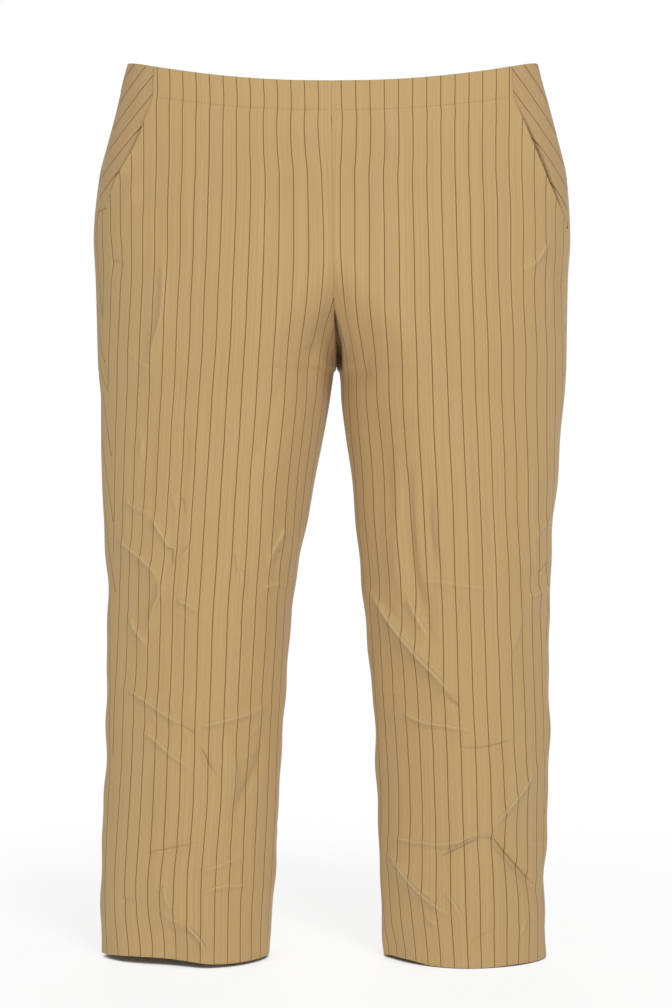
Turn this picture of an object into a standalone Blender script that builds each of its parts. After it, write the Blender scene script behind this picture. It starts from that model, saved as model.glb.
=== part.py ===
"""Pull-on straight-leg trousers in pinstriped cloth, filled out as worn, hems on the ground.

Each piece of cloth that is cut and sewn on is one closed solid wall. The wall follows rings
that are worked out from the sizes below. -Y is the front, +Z is up, and the origin is the
middle of the waist opening, level with the tops of the side seams.
"""

from collections import namedtuple
import math

import bpy
import numpy as np

MM = 0.001

# ---- driving sizes, millimetres ----
CLOTH = 1.3            # wall of a single layer
TURNED = 2.7           # wall where the cloth is folded in and stitched, two layers
SEAM_GAP = 0.3         # clear space between two pieces at a seam
CASING_DEPTH = 31.0    # turned-in casing at the waist
HEM_DEPTH = 31.0       # turned-up hem
STEP = 0.8             # height over which a turned edge steps back to one layer
RIM_DIP_FRONT = 28.0   # the front of the waist dips below the side seams
RIM_DIP_BACK = 5.0
RISE_TURN = -185.0     # height from which the centre seam turns in to the crotch
CREST_PARTED = -338.0  # height at which the crests of the two halves are fully apart
CROTCH_Z = -319.0
HEM_Z_RIGHT = -932.0
HEM_Z_LEFT = -935.0
POCKET_STEP_RUN = 18.0  # the hip facing sinks under the pocket edge over this length
POCKET_END_WIDTH = 1.2  # width of the hip facing's showing part at the pocket's foot
POCKET_END_SINK = 0.5   # extra depth of the facing there, under the side of the front

COLUMNS = 11
SEAT_ROWS = 8
FORK_ROWS = 10
LEG_ROWS = 17
POCKET_ROWS = 5

# One row per height. out is measured outward from X = 0 in the front view, for the wearer's
# right (r) and left (l) half; middle is X of the line between the halves and apart the space
# between the legs; front and back are the depths of the ring; shift moves its crest inward;
# seam is how far the side seam sits in from the outline.
Ring = namedtuple(
    "Ring", "z out_r out_l middle apart front back shift_r shift_l seam_r seam_l"
)
RINGS = (
    Ring(0, 215.5, 215, -2, 0, 60, 72, 0, 0, 0, 0),
    Ring(-18, 220.5, 219.5, -1.8, 0, 60, 75, 0, 0, 0.5, 0.2),
    Ring(-43, 225.8, 226.5, -1.6, 0, 61, 80, 0, 0, 1, 0.5),
    Ring(-79, 235.2, 236, -1.2, 0, 67, 92, 0, 0, 2.5, 1.5),
    Ring(-121, 245.5, 245.5, -1, 0, 84, 108, 0, 0, 4.5, 2.5),
    Ring(-184, 251, 249, -0.5, 0, 106, 123, 0, 0, 6.5, 3.5),
    Ring(-226, 249, 246.5, 0.2, 0, 108, 125, 0.1, 0.1, 7.5, 3),
    Ring(-268, 247.8, 245.7, 1.5, 0, 103, 118, 0.2, 0.2, 9, 2.5),
    Ring(-319, 246.5, 245, 3.8, 0, 92, 105, 0.33, 0.3, 10.5, 3),
    Ring(-331, 245.4, 244.4, 3.7, 7.4, 89, 101, 0.35, 0.31, 10.8, 2.7),
    Ring(-352, 243.6, 242.6, 2.7, 11.4, 84, 94, 0.38, 0.32, 11.5, 2.2),
    Ring(-394, 243.6, 238.4, 1.6, 24.2, 79, 86, 0.38, 0.22, 13, 1.5),
    Ring(-436, 242.6, 236.3, 0.5, 38.9, 77, 80, 0.38, 0.14, 13, 2),
    Ring(-478, 240.5, 231, -1.6, 49.4, 75, 76, 0.37, 0.08, 12.5, 3),
    Ring(-520, 238.4, 228.9, -3.7, 62, 73, 73, 0.35, 0.02, 11, 3.8),
    Ring(-562, 236.3, 227.9, -5.2, 73.5, 71, 70, 0.32, -0.02, 9.5, 4.4),
    Ring(-604, 237.3, 226.8, -4.8, 80.9, 67, 68, 0.28, -0.03, 8.2, 4.8),
    Ring(-646, 237.3, 226.8, -4.2, 88.2, 64, 66, 0.24, -0.03, 7.4, 4.8),
    Ring(-688, 238.4, 227.6, -4.2, 94.6, 62, 64, 0.18, -0.03, 8, 4.6),
    Ring(-730, 238.4, 226.8, -5, 99.1, 62, 63, 0.15, -0.03, 9, 4.2),
    Ring(-772, 240.5, 225.8, -5.2, 102.9, 61, 62, 0.16, -0.04, 10.5, 3.6),
    Ring(-814, 242.6, 224.4, -5.6, 106.3, 59, 61, 0.2, -0.04, 11.8, 2.8),
    Ring(-856, 243.6, 221.5, -5.8, 110.3, 59, 60, 0.24, -0.04, 12.4, 2.2),
    Ring(-898, 243.6, 222.4, -6.6, 114.8, 61, 60, 0.26, -0.02, 12.6, 2),
    Ring(-935, 242.6, 224.2, -6.3, 119.8, 64, 61, 0.26, 0, 12.6, 2),
)

# How square the rings are: 2 is an ellipse, less is more pointed at the crest.
Squareness = namedtuple("Squareness", "z front back")
SQUARENESS = (
    Squareness(0, 2.2, 2.1),
    Squareness(-150, 2.0, 2.0),
    Squareness(-268, 1.85, 1.9),
    Squareness(-352, 1.7, 1.75),
    Squareness(-935, 1.7, 1.75),
)

# Edge of the front panel at the hip pocket: distance out from X = 0 at each height.
PocketEdge = namedtuple("PocketEdge", "z right left")
POCKET_BOTTOM_RIGHT = -158.0
POCKET_BOTTOM_LEFT = -176.0
POCKET_EDGE = (
    PocketEdge(0, 185.0, 185.0),
    PocketEdge(-40, 186.0, 188.5),
    PocketEdge(-60, 195.0, 195.5),
    PocketEdge(-94, 210.0, 208.5),
    PocketEdge(-126, 227.5, 221.0),
    PocketEdge(-158, 242.4, 236.0),
    PocketEdge(-176, 246.0, 245.0),
)

# The largest folds: a soft ridge (height above 0) or trough from one point to another.
Fold = namedtuple("Fold", "face x0 z0 x1 z1 height width")
FOLDS = (
    Fold("front", -212, -498, -148, -564, 3.2, 17),
    Fold("front", -20, -351, -42, -488, -4.0, 21),
    Fold("front", -202, -657, -114, -683, 2.8, 16),
    Fold("front", -137, -710, -113, -742, -2.6, 14),
    Fold("front", -184, -821, -140, -809, -2.2, 14),
    Fold("front", -131, -833, -79, -848, 2.2, 16),
    Fold("front", 38, -351, 70, -508, -4.0, 21),
    Fold("front", 46, -566, 130, -668, 4.2, 16),
    Fold("front", 203, -734, 162, -796, 2.8, 15),
    Fold("front", 121, -817, 163, -802, -2.6, 14),
    Fold("front", 57, -815, 120, -880, 2.8, 15),
    Fold("back", -44, -338, -150, -300, -4.2, 20),
    Fold("back", -70, -395, -190, -352, 3.0, 20),
    Fold("back", -118, -560, -196, -604, -3.6, 17),
    Fold("back", -92, -664, -176, -634, 3.0, 17),
    Fold("back", -120, -800, -190, -832, -2.6, 16),
    Fold("back", 46, -336, 158, -306, -4.0, 20),
    Fold("back", 78, -402, 186, -356, 3.0, 20),
    Fold("back", 96, -590, 178, -556, -3.4, 17),
    Fold("back", 84, -640, 172, -668, 3.2, 17),
    Fold("back", 110, -818, 182, -790, -2.6, 16),
)


def smooth(t):
    """Eases 0..1 with level ends."""
    t = np.clip(t, 0.0, 1.0)
    return t * t * (3.0 - 2.0 * t)


def column_of(table, name):
    """Heights, rising, and the values of one named column."""
    rows = table[::-1]
    heights = np.array([row.z for row in rows], float)
    return heights, np.array([getattr(row, name) for row in rows], float)


def read(table, name, z):
    """Reads a column at any height by a cubic through its rows that doesn't overshoot."""
    heights, values = column_of(table, name)
    steps = np.diff(values) / np.diff(heights)
    before = np.concatenate([steps[:1], steps])
    after = np.concatenate([steps, steps[-1:]])
    same = before * after > 0
    total = np.where(same, before + after, 1.0)
    slope = np.where(same, 2.0 * before * after / total, 0.0)
    z = np.clip(z, heights[0], heights[-1])
    k = np.clip(np.searchsorted(heights, z) - 1, 0, len(heights) - 2)
    gap = heights[k + 1] - heights[k]
    t = (z - heights[k]) / gap
    low = (2 * t**3 - 3 * t**2 + 1) * values[k] + (t**3 - 2 * t**2 + t) * gap * slope[k]
    high = (3 * t**2 - 2 * t**3) * values[k + 1] + (t**3 - t**2) * gap * slope[k + 1]
    return low + high


def fork(z):
    """0 where both halves share one body ring, 1 from the crotch down."""
    return smooth((RISE_TURN - z) / (RISE_TURN - CROTCH_Z))


def ring_of(side, z):
    """Crest, reach from the crest outward and inward, and inner edge of one half's ring."""
    tag = "_l" if side > 0 else "_r"
    outer = read(RINGS, "out" + tag, z)
    inner = side * read(RINGS, "middle", z) + 0.5 * read(RINGS, "apart", z)
    half = 0.5 * (outer - inner)
    parting = smooth((RISE_TURN - z) / (RISE_TURN - CREST_PARTED))
    away = half * (1.0 - read(RINGS, "shift" + tag, z)) * parting
    crest = inner + away
    split = fork(z)
    inward = np.where(split > 1e-6, away / np.maximum(split, 1e-6), outer - crest)
    return crest, outer - crest, inward, inner


def power(value, n):
    """Signed power that squares a circle up or points it."""
    return np.sign(value) * np.abs(value) ** (2.0 / n)


def plain_point(side, theta, z):
    """A point of the smooth form. theta is 0 at the outline, above 0 to the front."""
    crest, outward, inward, _ = ring_of(side, z)
    front = theta >= 0
    n = np.where(front, read(SQUARENESS, "front", z), read(SQUARENESS, "back", z))
    depth = np.where(front, read(RINGS, "front", z), read(RINGS, "back", z))
    across = power(np.cos(theta), n)
    x = side * (crest + np.where(across > 0, outward, inward) * across)
    y = -depth * power(np.sin(theta), n)
    return np.stack([x, y, z + 0.0 * x], axis=-1)


def plain_normal(side, theta, z):
    """Outward normal of the smooth form, from its slopes round the ring and down it."""
    step = 0.02
    round_it = plain_point(side, theta + step, z) - plain_point(side, theta - step, z)
    down = plain_point(side, theta, z - 1.0) - plain_point(side, theta, z + 1.0)
    normal = np.cross(round_it, down) * side
    return normal / np.linalg.norm(normal, axis=-1, keepdims=True)


def fold_height(theta, points):
    """Sum of the folds at points of the form. It fades to nothing at the side and inner seams."""
    total = np.zeros(points.shape[:-1])
    for fold in FOLDS:
        start = np.array([fold.x0, fold.z0], float)
        run = np.array([fold.x1, fold.z1], float) - start
        length = np.linalg.norm(run)
        flat = points[..., [0, 2]] - start
        along = flat @ run / length
        across = (flat[..., 0] * run[1] - flat[..., 1] * run[0]) / length
        beyond = np.maximum(0.0, np.maximum(-along, along - length))
        bump = np.exp(-((across / fold.width) ** 2) - (beyond / (1.4 * fold.width)) ** 2)
        facing = np.sin(theta) if fold.face == "front" else -np.sin(theta)
        total += fold.height * bump * smooth(facing / 0.5)
    return total


def on_form(side, theta, z, out=0.0):
    """A point of the folded form, moved out along the normal."""
    points = plain_point(side, theta, z)
    lift = fold_height(theta, points) + out
    return points + plain_normal(side, theta, z) * lift[..., None]


def theta_at(side, z, reach, n):
    """theta at which a ring stands reach millimetres out from X = 0, on its outer part."""
    crest, outward, _, _ = ring_of(side, z)
    across = np.clip((reach - crest) / outward, 0.02, 1.0)
    return np.arccos(across ** (n / 2.0))


def side_theta(side, z):
    """theta of the side seam."""
    crest, outward, _, _ = ring_of(side, z)
    inset = read(RINGS, "seam_l" if side > 0 else "seam_r", z)
    return theta_at(side, z, crest + outward - inset, read(SQUARENESS, "front", z))


def inner_theta(side, z, face, gap):
    """theta of the centre seam above the crotch, and of the inseam below it."""
    _, outward, inward, _ = ring_of(side, z)
    n = read(SQUARENESS, face, z)
    depth = read(RINGS, face, z)
    away = gap - fork(z) * inward
    to_middle = np.clip(away / np.where(away > 0, outward, inward), -1.0, 1.0)
    at_middle = np.arccos(np.sign(to_middle) * np.abs(to_middle) ** (n / 2.0))
    at_inseam = math.pi - np.arcsin((gap / depth) ** (n / 2.0))
    return np.minimum(at_middle, at_inseam)


def heights_of(side):
    """Row heights at the side seam, from the waist rim down to the hem."""
    hem = HEM_Z_LEFT if side > 0 else HEM_Z_RIGHT
    pocket = POCKET_BOTTOM_LEFT if side > 0 else POCKET_BOTTOM_RIGHT
    top = [0.0, -CASING_DEPTH / 2, -CASING_DEPTH, -CASING_DEPTH - STEP]
    hip = np.linspace(-CASING_DEPTH - STEP, pocket, POCKET_ROWS + 1)[1:]
    seat = np.linspace(pocket, -268.0, SEAT_ROWS - 3)[1:]
    bend = np.sin(np.linspace(0.0, math.pi / 2, FORK_ROWS))[1:]
    turn = -268.0 + (CROTCH_Z + 268.0) * bend
    leg = np.linspace(CROTCH_Z, hem + HEM_DEPTH + STEP, LEG_ROWS + 1)[1:]
    leg[0] += 12.0
    low = [hem + HEM_DEPTH, hem + HEM_DEPTH / 2, hem]
    return np.concatenate([top, hip, seat, turn, leg, low]), len(top) + POCKET_ROWS - 1


def dipped(side, face, theta, row_z):
    """Height of a point of a row: near the waist the rows follow the dip of the rim."""
    pocket = POCKET_BOTTOM_LEFT if side > 0 else POCKET_BOTTOM_RIGHT
    dip = RIM_DIP_FRONT if face == "front" else RIM_DIP_BACK
    fade = 1.0 - smooth((-CASING_DEPTH - STEP - row_z) / (-CASING_DEPTH - STEP - pocket))
    return row_z - dip * fade * np.sin(theta) ** 2


def pocket_theta(side, row_z):
    """theta of the front panel's outer edge, following the hip pocket and then the side seam."""
    name = "left" if side > 0 else "right"
    bottom = POCKET_BOTTOM_LEFT if side > 0 else POCKET_BOTTOM_RIGHT
    theta = side_theta(side, row_z)
    for _ in range(6):
        z = dipped(side, "front", theta, row_z)
        reach = read(POCKET_EDGE, name, z)
        edge = theta_at(side, z, reach, read(SQUARENESS, "front", z))
        seam = side_theta(side, z)
        theta = np.where(row_z > bottom + 0.01, np.maximum(edge, seam), seam)
    return theta


def seam_shift(side, theta, z, distance):
    """theta moved round the ring by a small distance."""
    step = 0.03
    here = plain_point(side, theta, z)
    ahead = plain_point(side, theta + step, z)
    return theta + step * distance / np.linalg.norm(ahead - here, axis=-1)


def spread(side, face, start, end, row_z, count):
    """Angles of the columns of each row, closer together where the ring bends more."""
    fine = np.linspace(0.0, 1.0, 161)
    rows = []
    for first, last, z in zip(start, end, row_z):
        theta = first + (last - first) * fine
        points = plain_point(side, theta, dipped(side, face, theta, z))
        run = np.linalg.norm(np.diff(points, axis=0), axis=1)
        length = np.concatenate([[0.0], np.cumsum(run)])
        measure = 0.6 * length / length[-1] + 0.4 * fine
        rows.append(np.interp(np.linspace(0.0, 1.0, count + 1), measure, theta))
    return np.array(rows)


def front_columns(side):
    """theta and height of every grid point of a front panel."""
    row_z, _ = heights_of(side)
    start = seam_shift(side, pocket_theta(side, row_z), row_z, SEAM_GAP / 2)
    end = inner_theta(side, row_z, "front", SEAM_GAP / 2)
    theta = spread(side, "front", start, end, row_z, COLUMNS)
    return theta, dipped(side, "front", theta, row_z[:, None])


def back_columns(side):
    """theta and height of every grid point of a back panel."""
    row_z, _ = heights_of(side)
    start = seam_shift(side, side_theta(side, row_z), row_z, -SEAM_GAP / 2)
    end = -inner_theta(side, row_z, "back", SEAM_GAP / 2)
    theta = spread(side, "back", start, end, row_z, COLUMNS)
    z = np.where(
        theta > 0,
        dipped(side, "front", theta, row_z[:, None]),
        dipped(side, "back", theta, row_z[:, None]),
    )
    return theta, z


def wall_depth(side, rows, columns, thin_columns):
    """Thickness at each grid point: doubled in the casing and the hem."""
    row_z, _ = heights_of(side)
    hem = HEM_Z_LEFT if side > 0 else HEM_Z_RIGHT
    wall = np.full((rows, columns), CLOTH)
    top = row_z >= -CASING_DEPTH - 0.01
    low = row_z <= hem + HEM_DEPTH + 0.01
    keep = np.clip((np.arange(columns) - thin_columns) / 2.0, 0.0, 1.0)
    if thin_columns == 0:
        keep[:] = 1.0
    wall[top] += (TURNED - CLOTH) * keep
    wall[low] = TURNED
    return wall


def wall_mesh(name, outer, inner, material):
    """A closed wall between two grids of points."""
    rows, columns = outer.shape[:2]
    count = rows * columns
    points = np.concatenate([outer.reshape(-1, 3), inner.reshape(-1, 3)]) * MM
    index = np.arange(count).reshape(rows, columns)
    faces = []
    for i in range(rows - 1):
        for j in range(columns - 1):
            a, b = index[i, j], index[i, j + 1]
            c, d = index[i + 1, j + 1], index[i + 1, j]
            faces += [(a, b, c), (a, c, d)]
            faces += [(c + count, b + count, a + count), (d + count, c + count, a + count)]
    loop = list(index[0, :]) + list(index[1:, -1])
    loop += list(index[-1, -2::-1]) + list(index[-2:0:-1, 0])
    for a, b in zip(loop, loop[1:] + loop[:1]):
        faces += [(b, a, a + count), (b, a + count, b + count)]
    corners = points[np.array(faces)]
    if np.linalg.det(corners).sum() < 0:
        faces = [face[::-1] for face in faces]
    mesh = bpy.data.meshes.new(name)
    mesh.from_pydata([tuple(map(float, p)) for p in points], [], [tuple(map(int, f)) for f in faces])
    mesh.validate()
    mesh.materials.append(material)
    made = bpy.data.objects.new(name, mesh)
    bpy.context.scene.collection.objects.link(made)
    return made


def build_panel(name, side, face, material):
    """A front or back panel from waist to hem."""
    theta, z = front_columns(side) if face == "front" else back_columns(side)
    wall = wall_depth(side, *theta.shape, 3 if face == "front" else 0)
    outer = on_form(side, theta, z)
    inner = on_form(side, theta, z, -wall)
    return wall_mesh(name, outer, inner, material)


def build_facing(name, side, material):
    """The side piece that shows in the slanted pocket opening and runs on under the front."""
    row_z, last = heights_of(side)
    row_z = row_z[: last + 1]
    panel_theta, panel_z = front_columns(side)
    panel_theta, panel_z = panel_theta[: last + 1], panel_z[: last + 1]
    seam = seam_shift(side, side_theta(side, row_z), row_z, SEAM_GAP / 2)
    least = seam_shift(side, seam, row_z, POCKET_END_WIDTH)
    edge = np.maximum(panel_theta[:, 0], least)
    share = np.array([0.0, 0.34, 0.67, 1.0])
    shown = seam[:, None] + (edge - seam)[:, None] * share
    shown_z = dipped(side, "front", shown, row_z[:, None])
    theta = np.concatenate([shown, panel_theta[:, 1:3]], axis=1)
    z = np.concatenate([shown_z, panel_z[:, 1:3]], axis=1)
    flat = plain_point(side, theta, z)
    away = np.linalg.norm(flat - flat[:, 3:4], axis=-1)
    away[:, 4:] = 0.0
    sunk = (CLOTH + SEAM_GAP) * (1.0 - smooth(away / POCKET_STEP_RUN))
    sunk[-1] += POCKET_END_SINK
    outer = on_form(side, theta, z, -sunk)
    inner = on_form(side, theta, z, -sunk - CLOTH)
    return wall_mesh(name, outer, inner, material)


def cloth_material():
    """Plain tan cloth."""
    material = bpy.data.materials.new("striped_cloth")
    material.use_nodes = True
    shader = material.node_tree.nodes["Principled BSDF"]
    shader.inputs["Base Color"].default_value = (0.52, 0.36, 0.15, 1.0)
    shader.inputs["Roughness"].default_value = 0.75
    return material


def main():
    for old in list(bpy.data.objects):
        bpy.data.objects.remove(old, do_unlink=True)
    scene = bpy.context.scene
    scene.unit_settings.system = "METRIC"
    scene.unit_settings.scale_length = 1.0
    cloth = cloth_material()
    for side, tag in ((-1, "right"), (1, "left")):
        build_panel("front_" + tag, side, "front", cloth)
        build_panel("back_" + tag, side, "back", cloth)
        build_facing("hip_facing_" + tag, side, cloth)


main()
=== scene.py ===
"""Pull-on straight-leg trousers in pinstriped cloth, filled out as worn.

The cloth is made as sheets on the form that the frame's solids have: two fronts, two backs
and two hip facings, each with its turned-in casing, turned-up hem and pressed seam
allowances. Sizes are in millimetres until a mesh is made. -Y is the front, +Z is up.
"""

from __future__ import annotations

import logging
import math
from dataclasses import dataclass, field
from enum import Enum
from typing import NamedTuple, Sequence

import bpy
import numpy as np
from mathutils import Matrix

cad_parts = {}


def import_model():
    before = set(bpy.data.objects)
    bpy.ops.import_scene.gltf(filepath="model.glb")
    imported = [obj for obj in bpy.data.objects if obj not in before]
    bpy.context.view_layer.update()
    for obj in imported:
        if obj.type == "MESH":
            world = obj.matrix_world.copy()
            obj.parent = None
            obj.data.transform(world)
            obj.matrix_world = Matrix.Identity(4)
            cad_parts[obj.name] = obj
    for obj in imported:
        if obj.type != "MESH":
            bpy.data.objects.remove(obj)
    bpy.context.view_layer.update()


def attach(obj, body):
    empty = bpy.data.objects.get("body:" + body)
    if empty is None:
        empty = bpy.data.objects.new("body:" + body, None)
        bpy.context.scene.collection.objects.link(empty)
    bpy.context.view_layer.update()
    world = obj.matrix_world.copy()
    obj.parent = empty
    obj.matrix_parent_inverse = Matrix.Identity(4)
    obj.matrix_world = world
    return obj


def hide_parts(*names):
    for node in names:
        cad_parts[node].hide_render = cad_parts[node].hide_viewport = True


LOG = logging.getLogger("striped_trousers")
MM = 0.001
Array = np.ndarray
Material = bpy.types.Material
Socket = bpy.types.NodeSocket
Tree = bpy.types.NodeTree


class Side(Enum):
    """The wearer's side, with the sign of X on it."""

    RIGHT = -1
    LEFT = 1


class Face(Enum):
    """Which face of the trousers a panel makes."""

    FRONT = "front"
    BACK = "back"


class Ring(NamedTuple):
    """One level of the form, as in the solids."""

    z: float
    out_r: float
    out_l: float
    middle: float
    apart: float
    front: float
    back: float
    shift_r: float
    shift_l: float
    seam_r: float
    seam_l: float


RINGS = (
    Ring(0, 215.5, 215, -2, 0, 60, 72, 0, 0, 0, 0),
    Ring(-18, 220.5, 219.5, -1.8, 0, 60, 75, 0, 0, 0.5, 0.2),
    Ring(-43, 225.8, 226.5, -1.6, 0, 61, 80, 0, 0, 1, 0.5),
    Ring(-79, 235.2, 236, -1.2, 0, 67, 92, 0, 0, 2.5, 1.5),
    Ring(-121, 245.5, 245.5, -1, 0, 84, 108, 0, 0, 4.5, 2.5),
    Ring(-184, 251, 249, -0.5, 0, 106, 123, 0, 0, 6.5, 3.5),
    Ring(-226, 249, 246.5, 0.2, 0, 108, 125, 0.1, 0.1, 7.5, 3),
    Ring(-268, 247.8, 245.7, 1.5, 0, 103, 118, 0.2, 0.2, 9, 2.5),
    Ring(-319, 246.5, 245, 3.8, 0, 92, 105, 0.33, 0.3, 10.5, 3),
    Ring(-322, 246.1, 244.8, 3.8, 4.6, 91.2, 104, 0.335, 0.302, 10.6, 2.9),
    Ring(-331, 245.4, 244.4, 3.7, 7.4, 89, 101, 0.35, 0.31, 10.8, 2.7),
    Ring(-352, 243.6, 242.6, 2.7, 11.4, 84, 94, 0.38, 0.32, 11.5, 2.2),
    Ring(-394, 243.6, 238.4, 1.6, 24.2, 79, 86, 0.38, 0.22, 13, 1.5),
    Ring(-436, 242.6, 236.3, 0.5, 38.9, 77, 80, 0.38, 0.14, 13, 2),
    Ring(-478, 240.5, 231, -1.6, 49.4, 75, 76, 0.37, 0.08, 12.5, 3),
    Ring(-520, 238.4, 228.9, -3.7, 62, 73, 73, 0.35, 0.02, 11, 3.8),
    Ring(-562, 236.3, 227.9, -5.2, 73.5, 71, 70, 0.32, -0.02, 9.5, 4.4),
    Ring(-604, 237.3, 226.8, -4.8, 80.9, 67, 68, 0.28, -0.03, 8.2, 4.8),
    Ring(-646, 237.3, 226.8, -4.2, 88.2, 64, 66, 0.24, -0.03, 7.4, 4.8),
    Ring(-688, 238.4, 227.6, -4.2, 94.6, 62, 64, 0.18, -0.03, 8, 4.6),
    Ring(-730, 238.4, 226.8, -5, 99.1, 62, 63, 0.15, -0.03, 9, 4.2),
    Ring(-772, 240.5, 225.8, -5.2, 102.9, 61, 62, 0.16, -0.04, 10.5, 3.6),
    Ring(-814, 242.6, 224.4, -5.6, 106.3, 59, 61, 0.2, -0.04, 11.8, 2.8),
    Ring(-856, 243.6, 221.5, -5.8, 110.3, 59, 60, 0.24, -0.04, 12.4, 2.2),
    Ring(-898, 243.6, 222.4, -6.6, 114.8, 61, 60, 0.26, -0.02, 12.6, 2),
    Ring(-935, 242.6, 224.2, -6.3, 119.8, 64, 61, 0.26, 0, 12.6, 2),
)


class Squareness(NamedTuple):
    """How square the rings are: 2 is an ellipse, less is more pointed at the crest."""

    z: float
    front: float
    back: float


SQUARENESS = (
    Squareness(0, 2.2, 2.1),
    Squareness(-150, 2.0, 2.0),
    Squareness(-268, 1.85, 1.9),
    Squareness(-352, 1.7, 1.75),
    Squareness(-935, 1.7, 1.75),
)


class PocketEdge(NamedTuple):
    """Distance of the front panel's pocket edge out from X = 0."""

    z: float
    right: float
    left: float


POCKET_EDGE = (
    PocketEdge(0, 185, 184),
    PocketEdge(-38, 186, 186.5),
    PocketEdge(-62, 193.5, 196),
    PocketEdge(-99, 208, 210.5),
    PocketEdge(-122, 221.5, 219.5),
    PocketEdge(-153, 235, 234),
    PocketEdge(-176, 246, 245),
)


class Grain(NamedTuple):
    """Distance of each panel's grain line out from X = 0. A dark stripe runs down it."""

    z: float
    front_r: float
    front_l: float
    back_r: float
    back_l: float


GRAIN = (
    Grain(0, 110.6, 108.3, 96, 94),
    Grain(-28, 110.6, 108.3, 96.5, 94.5),
    Grain(-40, 111.2, 108.9, 96.6, 94.6),
    Grain(-101, 111.5, 109.3, 98, 96),
    Grain(-206, 112.7, 110.3, 102, 99),
    Grain(-257, 115.1, 111.5, 106, 102),
    Grain(-297, 117.4, 113.5, 111, 106),
    Grain(-355, 122.5, 116.3, 118, 112),
    Grain(-457, 129.6, 121.2, 131, 121),
    Grain(-559, 135.2, 124.6, 140, 127),
    Grain(-661, 139.6, 128.9, 145, 131),
    Grain(-763, 142.9, 133.1, 148, 134),
    Grain(-866, 149.3, 135.6, 151, 137),
    Grain(-935, 149, 137.5, 152, 139),
)


class Ease(NamedTuple):
    """How much the cloth of a front is eased or stretched across, outward and inward."""

    z: float
    out_r: float
    in_r: float
    out_l: float
    in_l: float


EASE = (
    Ease(0, 1.01, 1.05, 0.965, 1.0),
    Ease(-102, 1.025, 1.025, 0.998, 1.0),
    Ease(-207, 1.02, 0.985, 0.988, 0.985),
    Ease(-296, 1.015, 0.98, 0.982, 0.965),
    Ease(-356, 1.045, 0.955, 1.01, 0.94),
    Ease(-457, 1.085, 0.96, 1.03, 0.965),
    Ease(-508, 1.095, 0.965, 1.015, 1.005),
    Ease(-559, 1.055, 0.99, 1.0, 1.04),
    Ease(-661, 1.05, 1.0, 0.99, 1.01),
    Ease(-763, 1.025, 1.03, 1.0, 1.02),
    Ease(-866, 1.05, 1.02, 1.0, 1.0),
    Ease(-935, 1.08, 1.02, 1.04, 1.03),
)


class Fold(NamedTuple):
    """A soft ridge (height above 0) or trough along a curve through points (x, z).

    right and left are its half widths on its two sides, going from the first point.
    """

    route: tuple[tuple[float, float], ...]
    height: float
    right: float
    left: float
    face: str = "front"


# The largest folds are the ones that the solids have too.
LARGE_FOLDS = (
    Fold(((-212, -498), (-180, -531), (-148, -564)), 3.2, 17, 17),
    Fold(((-20, -351), (-31, -420), (-42, -488)), -4.0, 21, 21),
    Fold(((-202, -657), (-158, -670), (-114, -683)), 2.8, 16, 16),
    Fold(((-137, -710), (-125, -726), (-113, -742)), -2.6, 14, 14),
    Fold(((-184, -821), (-162, -815), (-140, -809)), -2.2, 14, 14),
    Fold(((-131, -833), (-105, -840), (-79, -848)), 2.2, 16, 16),
    Fold(((38, -351), (54, -430), (70, -508)), -4.0, 21, 21),
    Fold(((46, -566), (88, -617), (130, -668)), 4.2, 16, 16),
    Fold(((203, -734), (182, -765), (162, -796)), 2.8, 15, 15),
    Fold(((121, -817), (142, -810), (163, -802)), -2.6, 14, 14),
    Fold(((57, -815), (88, -848), (120, -880)), 2.8, 15, 15),
    Fold(((-44, -338), (-97, -319), (-150, -300)), -4.2, 20, 20, "back"),
    Fold(((-70, -395), (-130, -374), (-190, -352)), 3.0, 20, 20, "back"),
    Fold(((-118, -560), (-157, -582), (-196, -604)), -3.6, 17, 17, "back"),
    Fold(((-92, -664), (-134, -649), (-176, -634)), 3.0, 17, 17, "back"),
    Fold(((-120, -800), (-155, -816), (-190, -832)), -2.6, 16, 16, "back"),
    Fold(((46, -336), (102, -321), (158, -306)), -4.0, 20, 20, "back"),
    Fold(((78, -402), (132, -379), (186, -356)), 3.0, 20, 20, "back"),
    Fold(((96, -590), (137, -573), (178, -556)), -3.4, 17, 17, "back"),
    Fold(((84, -640), (128, -654), (172, -668)), 3.2, 17, 17, "back"),
    Fold(((110, -818), (146, -804), (182, -790)), -2.6, 16, 16, "back"),
)

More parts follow.
